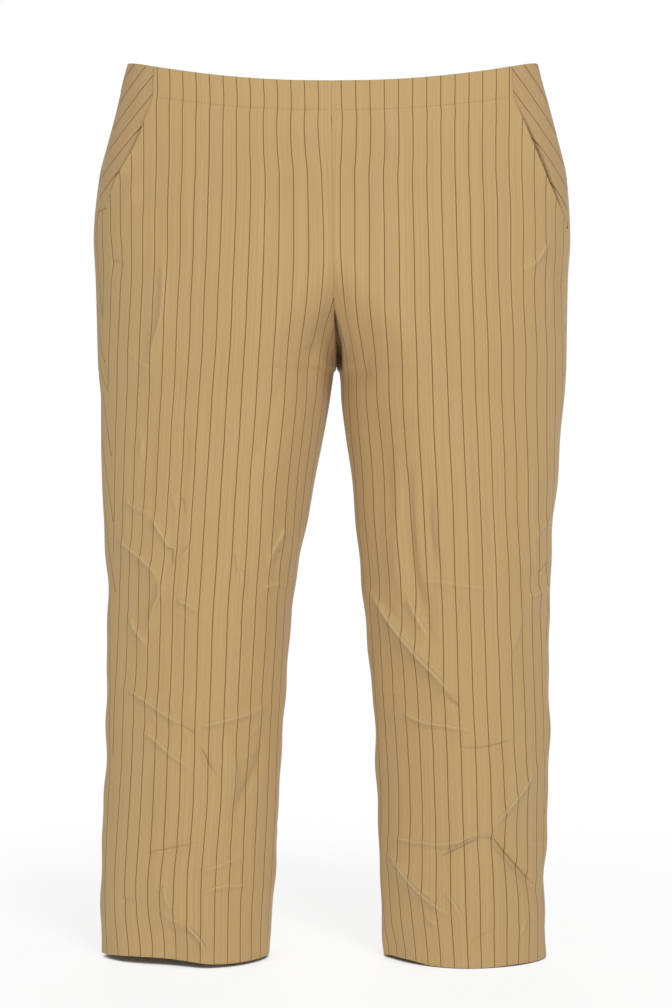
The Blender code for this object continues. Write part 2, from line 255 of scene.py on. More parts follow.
# Finer creases of the fronts, by where they lie.
FRONT_CREASES = (
    # Wearer's right leg, about the knee.
    Fold(((-221, -498), (-201, -512), (-184, -527), (-175, -541)), 2.1, 9.7, 2.8),
    Fold(((-175, -541), (-177, -556), (-183, -569), (-191, -593)), 1.8, 6.3, 2.8),
    Fold(((-184, -474), (-180, -483), (-172, -495), (-159, -516)), 1.9, 9.7, 2.8),
    Fold(((-164, -504), (-165, -525)), -1.9, 12.9, 3.8),
    Fold(((-213, -455), (-208, -462), (-197, -467), (-183, -471)), 1.4, 9.5, 2.8),
    Fold(((-161, -451), (-161, -460), (-157, -469)), 1.3, 9.5, 2.8),
    Fold(((-154, -454), (-152, -475)), -1.3, 9.7, 2.8),
    Fold(((-54, -343), (-60, -360), (-71, -399), (-85, -424), (-102, -447), (-122, -470),
          (-135, -484)), -2.3, 6, 7),
    Fold(((-144, -501), (-151, -512), (-158, -518)), 1.4, 2.8, 9.7),
    Fold(((-100, -514), (-100, -536)), -1.4, 12.9, 3.8),
    Fold(((-92, -526), (-92, -551)), 1.4, 9.7, 2.8),
    Fold(((-47, -486), (-59, -507), (-67, -528)), 1.3, 2.8, 6.3),
    Fold(((-54, -507), (-56, -529)), -1.0, 12.9, 3.8),
    Fold(((-72, -547), (-61, -544), (-47, -542)), 1.1, 9.5, 2.8),
    Fold(((-158, -558), (-147, -563), (-136, -572)), 1.8, 9.7, 2.8),
    Fold(((-209, -578), (-205, -589), (-198, -598), (-190, -609)), 1.8, 9.7, 2.8),
    # Wearer's right leg, below the knee.
    Fold(((-213, -651), (-192, -663), (-178, -672), (-157, -685), (-148, -691)), 2.1, 9.7, 2.8),
    Fold(((-156, -687), (-140, -696)), -1.6, 9.7, 2.8),
    Fold(((-136, -688), (-108, -681), (-87, -676), (-69, -669)), 1.8, 9.7, 2.8),
    Fold(((-196, -694), (-182, -703), (-165, -717), (-146, -730), (-137, -733)), 1.8, 9.7, 2.8),
    Fold(((-136, -710), (-131, -719), (-125, -731), (-116, -743)), -1.8, 11.3, 3.3),
    Fold(((-73, -710), (-78, -730), (-86, -748), (-91, -759), (-97, -778),
          (-94, -792)), -2.2, 10, 4.8),
    Fold(((-101, -720), (-100, -745), (-103, -766)), 1.8, 12.9, 3.8),
    Fold(((-195, -824), (-184, -819), (-171, -816), (-157, -813), (-135, -807)), -1.5, 9.5, 2.8),
    Fold(((-134, -836), (-112, -829), (-88, -820)), 1.4, 9.5, 2.8),
    Fold(((-134, -860), (-119, -853), (-105, -852), (-77, -853)), 1.4, 9.5, 2.8),
    Fold(((-173, -851), (-169, -868), (-163, -878)), 1.8, 12.9, 3.8),
    Fold(((-176, -878), (-165, -887), (-153, -888)), 1.1, 9.5, 2.8),
    Fold(((-174, -897), (-158, -899), (-146, -903)), -2, 7, 6),
    Fold(((-149, -892), (-134, -909), (-130, -924)), 2.3, 12.9, 3.8),
    Fold(((-170, -866), (-152, -890), (-132, -918)), 3.2, 16, 8),
    Fold(((-220, -869), (-204, -871)), -1.3, 9.7, 2.8),
    # Wearer's right hip and thigh.
    Fold(((-171, -216), (-172, -255), (-175, -276), (-184, -304), (-187, -327)), 1.9, 12.9, 3.8),
    Fold(((-183, -269), (-195, -308), (-201, -336)), -1.9, 10, 6),
    Fold(((-140, -272), (-140, -319)), -1.3, 14, 6),
    Fold(((-156, -320), (-158, -360)), -1.3, 14, 6),
    Fold(((-147, -384), (-151, -429)), -1.9, 12.9, 6),
    Fold(((-141, -387), (-141, -412)), 1.4, 12.9, 6),
    Fold(((-195, -394), (-196, -417)), 1.4, 9.7, 2.8),
    Fold(((-185, -386), (-190, -419)), -1.4, 12.9, 6),
    Fold(((-228, -211), (-222, -213), (-214, -215)), -1.4, 9.5, 2.8),
    Fold(((-192, -135), (-200, -171)), -1.4, 7, 7),
    Fold(((-208, -131), (-210, -149)), 1.3, 6, 6),
    Fold(((-11, -245), (-15, -263), (-22, -287)), 1.9, 8, 8),
    Fold(((-7, -279), (-22, -311), (-28, -353)), -2, 10, 6),
    # Wearer's left thigh: long folds that hang from the crotch.
    Fold(((64, -420), (66, -470), (67, -530), (73, -556)), 3.3, 9, 8),
    Fold(((77, -430), (79, -490), (82, -530), (92, -572), (100, -606)), -3.9, 5.5, 8),
    Fold(((84, -425), (86, -480), (90, -524), (96, -552)), 3.3, 8, 5.5),
    Fold(((96, -440), (98, -486), (103, -524)), -3.2, 6, 6),
    Fold(((106, -452), (108, -488), (112, -520)), 2.5, 8, 5.2),
    Fold(((78, -556), (84, -572), (92, -586), (99, -603)), 2.1, 9.7, 3.2),
    # Wearer's left leg, about the knee.
    Fold(((43, -556), (62, -583), (84, -611), (111, -641), (132, -666)), 3.3, 10.3, 3.2),
    Fold(((116, -657), (131, -670)), -1.8, 9.7, 2.8),
    Fold(((92, -539), (110, -540), (148, -546), (179, -551)), 1.1, 9.5, 2.8),
    Fold(((196, -564), (189, -596), (182, -615), (177, -629)), 1.1, 6.3, 2.8),
    Fold(((226, -478), (216, -486), (208, -500)), 1.4, 6, 3.2),
    Fold(((226, -520), (217, -530), (206, -536)), -1.5, 4, 6),
    Fold(((224, -545), (214, -552), (200, -556)), 1.5, 3.2, 6),
    Fold(((222, -560), (214, -575), (211, -592)), -1.2, 4, 6),
    # Wearer's left leg, below the knee.
    Fold(((71, -675), (92, -684), (114, -687), (143, -693), (149, -701)), 1.8, 9.5, 2.8),
    Fold(((128, -710), (149, -711), (178, -706), (197, -702)), -1.3, 9.5, 2.8),
    Fold(((207, -738), (199, -751), (178, -774), (159, -796)), 2.3, 3, 10.3),
    Fold(((61, -807), (84, -808), (106, -809), (127, -806), (159, -796)), 1.8, 9.5, 2.8),
    Fold(((110, -823), (121, -818), (148, -805), (159, -803)), -2.3, 12.9, 3.8),
    Fold(((159, -803), (165, -806), (175, -818), (199, -846), (216, -866)), -3.5, 11.3, 3.8),
    Fold(((60, -825), (69, -836), (89, -858), (112, -876), (123, -880)), 3.6, 10.3, 3.4),
    Fold(((116, -857), (125, -870), (134, -888)), 1.8, 9.5, 2.8),
    Fold(((95, -884), (108, -893)), 1.4, 14, 4.8),
    Fold(((140, -909), (155, -902), (168, -897)), -0.9, 12.9, 3.8),
    Fold(((199, -890), (190, -907)), 1.4, 3.8, 8.4),
    # Wearer's left hip, with the facing's folds beside the pocket's edge.
    Fold(((200, -64), (213, -92), (224, -118), (236, -146)), 1.6, 3.4, 6),
    Fold(((-203, -92), (-214, -108), (-226, -124), (-236, -142)), 1.0, 3.4, 6),
    Fold(((223, -193), (219, -196), (208, -212), (195, -224)), 1.8, 2.8, 9.5),
    Fold(((234, -222), (238, -240)), -1.3, 9.7, 2.8),
    Fold(((14, -251), (20, -274), (27, -301), (30, -315)), 1.9, 7, 7),
    Fold(((35, -312), (36, -336)), -1.4, 14, 4.8),
)

# Creases of the backs. More are made there from those of the fronts.
BACK_CREASES = (
    Fold(((-30, -312), (-70, -322), (-120, -318)), -1.6, 8, 12, "back"),
    Fold(((-40, -352), (-84, -346), (-128, -330)), 1.4, 8, 12, "back"),
    Fold(((-200, -352), (-160, -384), (-110, -410)), -1.4, 10, 14, "back"),
    Fold(((-110, -548), (-150, -566), (-192, -590)), -1.7, 7, 12, "back"),
    Fold(((-100, -590), (-140, -604), (-186, -612)), 1.6, 7, 11, "back"),
    Fold(((-110, -628), (-146, -622), (-180, -610)), -1.2, 7, 10, "back"),
    Fold(((-96, -720), (-130, -734), (-176, -740)), 1.1, 8, 10, "back"),
    Fold(((-120, -868), (-150, -862), (-186, -874)), 1.0, 8, 10, "back"),
    Fold(((34, -310), (78, -320), (126, -316)), -1.6, 8, 12, "back"),
    Fold(((52, -352), (96, -344), (140, -330)), 1.4, 8, 12, "back"),
    Fold(((198, -350), (158, -386), (116, -416)), -1.4, 10, 14, "back"),
    Fold(((92, -552), (132, -566), (176, -584)), -1.6, 7, 12, "back"),
    Fold(((86, -606), (126, -612), (170, -604)), 1.6, 7, 11, "back"),
    Fold(((96, -700), (130, -690), (168, -698)), 1.1, 8, 10, "back"),
    Fold(((100, -866), (134, -874), (172, -862)), 1.0, 8, 10, "back"),
)


class Tug(NamedTuple):
    """A place where the front's stripes are pulled across, by shift towards +X."""

    x: float
    z: float
    reach_x: float
    reach_z: float
    shift: float


TUGS = (
    Tug(-66, -455, 18, 72, -2.2),
    Tug(-42, -505, 9, 60, 2.2),
    Tug(11, -252, 10, 44, 3.2),
    Tug(-15, -292, 8, 16, 2.6),
    Tug(-225, -207, 14, 20, 3.2),
    Tug(150, -420, 40, 60, 1.0),
    Tug(209, -545, 9, 9, -3.4),
)


class Cut(NamedTuple):
    """A piece's flat size in metres, as wide and long as its cut, and its area."""

    size: tuple[float, float]
    area: float


# Seam allowances, casing and hem are in these. The widths are those of the widest row.
FLAT_SIZES = {
    "front_right": Cut((0.328, 0.993), 0.248),
    "front_left": Cut((0.335, 0.996), 0.254),
    "back_right": Cut((0.405, 0.993), 0.309),
    "back_left": Cut((0.382, 0.996), 0.297),
    "facing_right": Cut((0.088, 0.202), 0.0146),
    "facing_left": Cut((0.089, 0.216), 0.016),
}


class Dent(NamedTuple):
    """A broad soft hollow: its middle, its reach each way, and its depth."""

    x: float
    z: float
    reach_out: float
    reach_in: float
    reach_z: float
    depth: float
    face: str = "front"


DENTS = (
    Dent(-172, -921, 42, 30, 34, 9.0),
    Dent(62, -925, 16, 18, 16, 3.0),
    Dent(176, -916, 34, 34, 30, 5.0, "back"),
)


class HemLift(NamedTuple):
    """How far the front of the hem is lifted at a distance from X = 0."""

    x: float
    lift: float


HEM_LIFTS = (
    HemLift(-246, 0.0),
    HemLift(-226, 3.0),
    HemLift(-208, 4.4),
    HemLift(-186, 5.0),
    HemLift(-165, 4.6),
    HemLift(-144, 3.2),
    HemLift(-124, 1.0),
    HemLift(-104, 0.3),
    HemLift(-72, 0.0),
    HemLift(50, 0.6),
    HemLift(62, 3.4),
    HemLift(78, 3.6),
    HemLift(88, 2.6),
    HemLift(98, 0.8),
    HemLift(126, 0.2),
    HemLift(150, 0.0),
    HemLift(190, 1.2),
    HemLift(215, 0.6),
)


class Wave(NamedTuple):
    """One wave in the cloth: its share, its millimetres a radian each way, and its start."""

    share: float
    across: float
    down: float
    start: float


RIPPLE = (
    Wave(1.0, 31.0, 83.0, 0.6),
    Wave(0.7, 23.0, -61.0, 2.1),
    Wave(0.6, 57.0, 29.0, 4.4),
    Wave(0.4, 17.0, 37.0, 1.2),
    Wave(0.25, 9.0, 21.0, 0.3),
)
OUTLINE_BUMPS = (
    Wave(1.0, 70.0, 9.7, 1.3),
    Wave(0.8, -90.0, 15.1, 0.4),
    Wave(0.6, 50.0, 23.0, 2.2),
)


class FacingFit(NamedTuple):
    """How a hip facing is cut and hangs.

    bias is in degrees, bevel is how much wider it is than it looks, and a stripe crosses the
    pocket's edge at anchor (x, z). The gape is how far it hangs in, the width that does, and
    the width over which that fades.
    """

    bias: float
    bevel: float
    anchor: tuple[float, float]
    gape: float
    gape_width: float
    gape_edge: float


FACING_FITS = {
    Side.RIGHT: FacingFit(51.0, 1.5, (187.0, -38.4), 6.0, 3.6, 2.6),
    Side.LEFT: FacingFit(42.0, 1.2, (188.4, -36.8), 6.4, 4.2, 2.2),
}


class SoftBox(NamedTuple):
    """A square soft box: its place and side in metres, and its power in watts."""

    name: str
    place: tuple[float, float, float]
    side: float
    power: float


SOFT_BOXES = (
    SoftBox("key_soft_box", (1.15, -3.1, 3.2), 1.1, 134.0),
    SoftBox("fill_soft_box", (-1.7, -2.8, -0.6), 1.2, 20.0),
    SoftBox("back_soft_box", (0.0, 2.6, 1.2), 1.6, 26.0),
)


def linear_from_hex(code: str) -> tuple[float, float, float, float]:
    """Turns an sRGB hex colour to linear.

    Args:
        code: Six hex digits with a leading #.

    Returns:
        Linear red, green, blue and an alpha of 1.
    """
    parts = [int(code[i : i + 2], 16) / 255.0 for i in (1, 3, 5)]
    red, green, blue = (
        p / 12.92 if p <= 0.04045 else ((p + 0.055) / 1.055) ** 2.4 for p in parts
    )
    return red, green, blue, 1.0


def smooth(t: Array) -> Array:
    """Eases 0..1 with level ends."""
    t = np.clip(t, 0.0, 1.0)
    return t * t * (3.0 - 2.0 * t)


def read(table: Sequence[tuple], name: str, z: Array) -> Array:
    """Reads a named column at any height by a cubic that doesn't overshoot.

    Args:
        table: Rows from the waist down, each with a z.
        name: The column.
        z: Heights in millimetres.

    Returns:
        The column's value at each height.
    """
    heights = np.array([row.z for row in table[::-1]], float)
    values = np.array([getattr(row, name) for row in table[::-1]], float)
    steps = np.diff(values) / np.diff(heights)
    before = np.concatenate([steps[:1], steps])
    after = np.concatenate([steps, steps[-1:]])
    same = before * after > 0
    total = np.where(same, before + after, 1.0)
    slope = np.where(same, 2.0 * before * after / total, 0.0)
    z = np.clip(z, heights[0], heights[-1])
    k = np.clip(np.searchsorted(heights, z) - 1, 0, len(heights) - 2)
    gap = heights[k + 1] - heights[k]
    t = (z - heights[k]) / gap
    low = (2 * t**3 - 3 * t**2 + 1) * values[k] + (t**3 - 2 * t**2 + t) * gap * slope[k]
    high = (3 * t**2 - 2 * t**3) * values[k + 1] + (t**3 - t**2) * gap * slope[k + 1]
    return low + high


def signed_power(value: Array, n: Array) -> Array:
    """Signed power that squares a circle up or points it."""
    return np.sign(value) * np.abs(value) ** (2.0 / n)


def curve_through(route: tuple[tuple[float, float], ...], steps: int) -> Array:
    """Points along a smooth curve through a few points.

    Args:
        route: The points to pass through.
        steps: How many points to give between two of them.

    Returns:
        The curve's points, one in each row.
    """
    knots = np.array(route, float)
    ends = np.vstack([2 * knots[0] - knots[1], knots, 2 * knots[-1] - knots[-2]])
    t = np.linspace(0.0, 1.0, steps, endpoint=False)[:, None]
    runs = []
    for a, b, c, d in zip(ends[:-3], ends[1:-2], ends[2:-1], ends[3:]):
        cubic = (2 * b) + (c - a) * t + (2 * a - 5 * b + 4 * c - d) * t**2
        runs.append(0.5 * (cubic + (3 * b - a - 3 * c + d) * t**3))
    return np.vstack([*runs, knots[-1:]])


def waves(table: Sequence[Wave], x: Array, z: Array) -> Array:
    """Sum of a table's waves at each point."""
    return sum(w.share * np.sin(x / w.across + z / w.down + w.start) for w in table)


def interp_rows(places: Array, known: Array, values: Array) -> Array:
    """Reads each row's values, known at some places, at other places."""
    return np.array([np.interp(p, k, v) for p, k, v in zip(places, known, values)])


def bell(offset: Array, reach: float) -> Array:
    """1 at an offset of 0, and away to 0 over a reach."""
    return np.exp(-((offset / reach) ** 2))


@dataclass(frozen=True)
class Crinkles:
    """Small faint crinkles, most of them at the knees and the shins.

    Sizes are in millimetres and slants in degrees. drop is the least, the likeliest and the
    most below the waist, slant its middle and its spread, and the other pairs are ranges.
    """

    seed: int = 11
    each: int = 80
    drop: tuple[float, ...] = (190, 640, 925)
    legs_from: float = -420
    hip_inset: float = 15
    leg_inset: float = 40
    farthest: float = 222
    slant: tuple[float, ...] = (-28, 22)
    turns: tuple[float, ...] = (0, 0, 80)
    half: tuple[float, ...] = (5, 19)
    bow: float = 0.14
    height: tuple[float, ...] = (0.18, 0.55)
    signs: tuple[int, ...] = (1, 1, -1)
    width: tuple[float, ...] = (2.4, 4.2)
    lean: float = 1.3

    def scattered(self) -> list[Fold]:
        """Scatters them over both faces and both sides.

        Returns:
            The crinkles, as folds.
        """
        random = np.random.default_rng(self.seed)
        made = []
        for face in ("front", "back"):
            for side in (-1, 1):
                made.extend(self.one(random, face, side) for _ in range(self.each))
        return made

    def one(self, random: np.random.Generator, face: str, side: int) -> Fold:
        """Draws one crinkle.

        Args:
            random: The seeded draws.
            face: The face of the trousers that it is on.
            side: The sign of X on its side.

        Returns:
            The crinkle, as a fold.
        """
        z = -random.triangular(*self.drop)
        inset = self.leg_inset if z < self.legs_from else self.hip_inset
        x = side * random.uniform(inset, self.farthest)
        slant = side * random.normal(*self.slant) + random.choice(self.turns)
        half = random.uniform(*self.half)
        dx = half * math.cos(math.radians(slant))
        dz = half * math.sin(math.radians(slant))
        bow = random.normal(0, self.bow)
        route = ((x - dx, z - dz), (x - bow * dz, z + bow * dx), (x + dx, z + dz))
        height = random.uniform(*self.height) * random.choice(self.signs)
        wide = random.uniform(*self.width)
        return Fold(route, height, wide, wide * self.lean, face)


@dataclass
class CreaseField:
    """Height of every fold, crease, hollow and ripple over the smooth form."""

    large_share: float = 0.85
    fine_share: float = 1.25
    ripple: float = 0.36
    leg_ripple: float = 0.8
    edge_ripple: float = 0.5
    legs_from: float = -400.0
    legs_over: float = 160.0
    face_blend: float = 0.35
    end_height: float = 0.15
    steps: int = 7
    lowest: float = -925.0
    sharpest: float = 5.0
    line_share: float = 0.72
    trough_share: float = 0.85
    line_start: float = 0.12
    line_end: float = 0.4
    line_reach: float = 9.0
    folds: list = field(default_factory=list)

    def __post_init__(self) -> None:
        """Gathers the folds, adds like ones on the back and scatters small crinkles."""
        for fold in LARGE_FOLDS:
            self.folds.append(fold._replace(height=fold.height * self.large_share))
        for fold in FRONT_CREASES:
            self.folds.append(fold._replace(height=fold.height * self.fine_share))
        self.folds.extend(BACK_CREASES)
        for number, fold in enumerate(FRONT_CREASES):
            drop = (-17, 9, 23)[number % 3]
            stretch = (1.15, 0.9, 1.0)[number % 3]
            route = tuple((-x * 0.97, z + drop) for x, z in fold.route)
            # One in four is left out, so that the back isn't a mirror image of the front.
            if min(z for _, z in route) > self.lowest and number % 4:
                height = fold.height * stretch
                self.folds.append(Fold(route, height, fold.left, fold.right, "back"))
        self.folds.extend(Crinkles().scattered())

    def trace(self, fold: Fold, x: Array, z: Array) -> tuple[Array, ...]:
        """Finds where points lie beside a fold.

        Args:
            fold: The fold.
            x: X of each point in millimetres.
            z: Z of each point in millimetres.

        Returns:
            Which points are near the fold and, for those, their distance from it, a number
            above 0 on its right, and their share of the way along it.
        """
        line = curve_through(fold.route, self.steps)
        reach = 3.2 * max(fold.right, fold.left)
        low, high = line.min(axis=0) - reach, line.max(axis=0) + reach
        near = (x > low[0]) & (x < high[0]) & (z > low[1]) & (z < high[1])
        px, pz = x[near], z[near]
        best = np.full(px.shape, 1e9)
        side = np.zeros(px.shape)
        where = np.zeros(px.shape)
        runs = np.diff(line, axis=0)
        sizes = np.hypot(runs[:, 0], runs[:, 1])
        begin = np.concatenate([[0.0], np.cumsum(sizes)])
        for start, (dx, dz), size, before in zip(line, runs, sizes, begin):
            ahead = ((px - start[0]) * dx + (pz - start[1]) * dz) / size**2
            held = np.clip(ahead, 0.0, 1.0)
            off_x = px - start[0] - held * dx
            off_z = pz - start[1] - held * dz
            away = np.hypot(off_x, off_z)
            closer = away < best
            best = np.where(closer, away, best)
            side = np.where(closer, off_x * dz - off_z * dx, side)
            where = np.where(closer, before + held * size, where)
        return near, best, side, where / begin[-1]

    def one(self, fold: Fold, x: Array, z: Array) -> Array:
        """Works out one fold.

        Args:
            fold: The fold.
            x: X of each point in millimetres.
            z: Z of each point in millimetres.

        Returns:
            The fold's height at each point.
        """
        near, away, side, along = self.trace(fold, x, z)
        height = np.zeros(x.shape)
        wide = np.where(side > 0, fold.right, fold.left)
        hump = np.sin(math.pi * (0.06 + 0.88 * along)) ** 0.7
        taper = self.end_height + (1.0 - self.end_height) * hump
        height[near] = fold.height * taper * np.exp(-((away / wide) ** 1.5))
        return height

    def masks(self, theta: Array) -> dict:
        """Shares of the front's and the back's folds at angles round the ring."""
        to_front = np.sin(theta) / self.face_blend
        return {"front": smooth(to_front), "back": smooth(-to_front)}

    def lines(self, theta: Array, points: Array) -> Array:
        """Places of points beside the sharp line of the nearest crease.

        Args:
            theta: Angle of each point round its ring, above 0 to the front.
            points: The points, in millimetres.

        Returns:
            The distance from the line, above 0 on its steep side, and its height.
        """
        x, z = points[..., 0], points[..., 2]
        masks = self.masks(theta)
        made = np.zeros(x.shape + (2,))
        for fold in self.folds[len(LARGE_FOLDS):]:
            if min(fold.right, fold.left) > self.sharpest:
                continue
            near, away, side, along = self.trace(fold, x, z)
            steep = np.sign(side) * (1.0 if fold.right <= fold.left else -1.0)
            share = self.line_share * (1.0 if fold.height > 0 else self.trough_share)
            # A line starts sharply at one end and dies away to the other.
            ends = smooth(along / self.line_start) * smooth((1.0 - along) / self.line_end)
            crest = fold.height * share * ends * masks[fold.face][near]
            crest = crest * (1.0 - smooth(away / self.line_reach))
            held = made[near]
            wins = np.abs(crest) > np.abs(held[:, 1])
            held[wins] = np.stack([steep * away, crest], axis=-1)[wins]
            made[near] = held
        return made

    def at(self, theta: Array, points: Array) -> Array:
        """Height of all folds at points of the smooth form.

        Args:
            theta: Angle of each point round its ring, above 0 to the front.
            points: The points, in millimetres.

        Returns:
            How far each point is moved out.
        """
        x, z = points[..., 0], points[..., 2]
        masks = self.masks(theta)
        total = np.zeros(x.shape)
        for fold in self.folds:
            total += self.one(fold, x, z) * masks[fold.face]
        for dent in DENTS:
            outward = (x - dent.x) * np.sign(dent.x)
            reach = np.where(outward > 0, dent.reach_out, dent.reach_in)
            away = (outward / reach) ** 2 + ((z - dent.z) / dent.reach_z) ** 2
            total -= dent.depth * np.exp(-away) * masks[dent.face]
        # The legs are more crumpled than the hips, and their outlines are uneven too.
        low = smooth((self.legs_from - z) / self.legs_over)
        faces = masks["front"] + masks["back"]
        total += self.edge_ripple * waves(OUTLINE_BUMPS, x, z) * (1.0 - faces) * low
        ripple = self.ripple * (1.0 + self.leg_ripple * low)
        return total + ripple * waves(RIPPLE, x, z) * faces


@dataclass
class TrouserForm:
    """The smooth rings of one half of the trousers and the places of its seams."""

    side: Side
    hem_z: float
    pocket_foot: float
    creases: CreaseField
    rise_turn: float = -185.0
    crotch_z: float = -319.0
    crest_parted: float = -338.0
    casing: float = 31.0
    casing_step: float = 0.8
    rim_dip_front: float = 28.0
    rim_dip_back: float = 5.0
    seam_gap: float = 0.06
    centre_gap: float = -0.06

    @property
    def tag(self) -> str:
        """The side's ending in the names of columns."""
        return "_l" if self.side is Side.LEFT else "_r"

    def fork(self, z: Array) -> Array:
        """0 where both halves share one ring, 1 from the crotch down."""
        return smooth((self.rise_turn - z) / (self.rise_turn - self.crotch_z))

    def ring(self, z: Array) -> tuple[Array, Array, Array]:
        """Crest and reaches of one half's ring, measured outward.

        Args:
            z: Heights in millimetres.

        Returns:
            The crest, the reach from it outward and the reach from it inward.
        """
        outer = read(RINGS, "out" + self.tag, z)
        inner = self.side.value * read(RINGS, "middle", z) + 0.5 * read(RINGS, "apart", z)
        parting = smooth((self.rise_turn - z) / (self.rise_turn - self.crest_parted))
        lean = 1.0 - read(RINGS, "shift" + self.tag, z)
        away = 0.5 * (outer - inner) * lean * parting
        crest = inner + away
        split = self.fork(z)
        inward = np.where(split > 1e-6, away / np.maximum(split, 1e-6), outer - crest)
        return crest, outer - crest, inward

    def plain(self, theta: Array, z: Array) -> Array:
        """Points of the smooth form.

        Args:
            theta: Angles, 0 at the outline and above 0 to the front.
            z: Heights in millimetres.

        Returns:
            The points, in millimetres.
        """
        crest, outward, inward = self.ring(z)
        front = theta >= 0
        n = np.where(front, read(SQUARENESS, "front", z), read(SQUARENESS, "back", z))
        depth = np.where(front, read(RINGS, "front", z), read(RINGS, "back", z))
        across = signed_power(np.cos(theta), n)
        x = self.side.value * (crest + np.where(across > 0, outward, inward) * across)
        y = -depth * signed_power(np.sin(theta), n)
        return np.stack([x, y, z + 0.0 * x], axis=-1)

    def normal(self, theta: Array, z: Array) -> Array:
        """Outward normals of the smooth form.

        Args:
            theta: Angles round the ring.
            z: Heights in millimetres.

        Returns:
            Unit normals.
        """
        step = 0.02
        ahead = self.plain(theta + step, z)
        round_it = ahead - self.plain(theta - step, z)
        down = self.plain(theta, z - 1.0) - self.plain(theta, z + 1.0)
        normal = np.cross(round_it, down) * self.side.value
        return normal / np.linalg.norm(normal, axis=-1, keepdims=True)

    def placed(self, theta: Array, z: Array, out: Array) -> Array:
        """Points of the folded form.

        Args:
            theta: Angles round the ring.
            z: Heights in millimetres.
            out: Distance out from the cloth's outer face, below 0 to the inside.

        Returns:
            The points, in millimetres.
        """
        points = self.plain(theta, z)
        lift = self.creases.at(theta, points) + out
        return points + self.normal(theta, z) * lift[..., None]

    def theta_at(self, z: Array, reach: Array) -> Array:
        """Finds where a ring stands a distance out from X = 0, on its outer part.

        Args:
            z: Heights in millimetres.
            reach: The distance at each height.

        Returns:
            The angle at each height.
        """
        crest, outward, _ = self.ring(z)
        across = np.clip((reach - crest) / outward, -1.0, 1.0)
        n = read(SQUARENESS, "front", z)
        return np.arccos(np.sign(across) * np.abs(across) ** (n / 2.0))

    def side_seam(self, z: Array) -> Array:
        """Finds the side seam.

        Args:
            z: Heights in millimetres.

        Returns:
            The seam's angle at each height.
        """
        crest, outward, _ = self.ring(z)
        inset = read(RINGS, "seam" + self.tag, z)
        return self.theta_at(z, crest + outward - inset)

    def inner_seam(self, z: Array, face: Face) -> Array:
        """Finds the centre seam above the crotch and the inseam below it.

        Args:
            z: Heights in millimetres.
            face: The face of the panel that is sewn there.

        Returns:
            The seam's angle at each height, without a sign for the face.
        """
        _, outward, inward = self.ring(z)
        n = read(SQUARENESS, face.value, z)
        depth = read(RINGS, face.value, z)
        away = 0.5 * self.centre_gap - self.fork(z) * inward
        to_middle = np.clip(away / np.where(away > 0, outward, inward), -1.0, 1.0)
        at_middle = np.arccos(np.sign(to_middle) * np.abs(to_middle) ** (n / 2.0))
        at_inseam = math.pi - np.arcsin((0.5 * self.seam_gap / depth) ** (n / 2.0))
        return np.minimum(at_middle, at_inseam)

    def dipped(self, theta: Array, row_z: Array) -> Array:
        """Heights of points of a row, which near the waist follows the dip of the rim.

        Args:
            theta: Angles round the ring, above 0 to the front.
            row_z: Heights of the rows at the side seam.

        Returns:
            The heights, in millimetres.
        """
        top = -self.casing - self.casing_step
        fade = 1.0 - smooth((top - row_z) / (top - self.pocket_foot))
        dip = np.where(theta > 0, self.rim_dip_front, self.rim_dip_back)
        return row_z - dip * fade * np.sin(theta) ** 2

    def pocket_edge(self, row_z: Array) -> Array:
        """Finds the front's outer edge, along the pocket and then the side seam.

        Args:
            row_z: Heights of the rows at the side seam.

        Returns:
            The edge's angle in each row.
        """
        name = "left" if self.side is Side.LEFT else "right"
        theta = self.side_seam(row_z)
        # The rows dip towards the front, so the angle and the height are found in turns.
        for _ in range(6):
            z = self.dipped(theta, row_z)
            edge = self.theta_at(z, read(POCKET_EDGE, name, z))
            seam = self.side_seam(z)
            over = row_z > self.pocket_foot + 0.01
            theta = np.where(over, np.maximum(edge, seam), seam)
        return theta

    def along_pocket(self, row_z: Array, below: float) -> Array:
        """Rises from 0 below the casing to 1 half way down the pocket, and falls again.

        Args:
            row_z: Heights of the rows at the side seam.
            below: How far below the casing's seam it starts.

        Returns:
            The share in each row.
        """
        top = self.casing + below
        span = (row_z + top) / (self.pocket_foot + top)
        return np.sin(math.pi * np.clip(span, 0.0, 1.0))

    def moved_round(self, theta: Array, z: Array, distance: float) -> Array:
        """Moves angles a small way round the ring.

        Args:
            theta: The angles.
            z: Heights in millimetres.
            distance: How far, in millimetres.

        Returns:
            The new angles.
        """
        step = 0.03
        ahead = self.plain(theta + step, z) - self.plain(theta, z)
        return theta + step * distance / np.linalg.norm(ahead, axis=-1)

    def unrolled(self, ends: tuple, row_z: Array, count: int) -> tuple[Array, Array]:
        """Lays rows of the smooth form out flat.

        Args:
            ends: The angles where each row starts and where it ends.
            row_z: Heights of the rows at the side seam.
            count: How many places to measure in a row.

        Returns:
            The angles of those places, and how far along the cloth they are.
        """
        start, end = ends
        theta = start[:, None] + (end - start)[:, None] * np.linspace(0.0, 1.0, count)
        ring = self.plain(theta, self.dipped(theta, row_z[:, None]))
        run = np.linalg.norm(np.diff(ring, axis=1), axis=-1)
        length = np.concatenate([np.zeros((len(run), 1)), np.cumsum(run, axis=1)], axis=1)
        return theta, length


@dataclass(frozen=True)
class Turn:
    """One step of a sheet's edge: how far in from the edge, how deep, and which layer.

    along is measured from the fold, depth is below the outer layer, and layer is 1 on the
    outer layer, 0.5 round the fold and 0 on the turned layer.
    """

    along: float
    depth: float
    layer: float


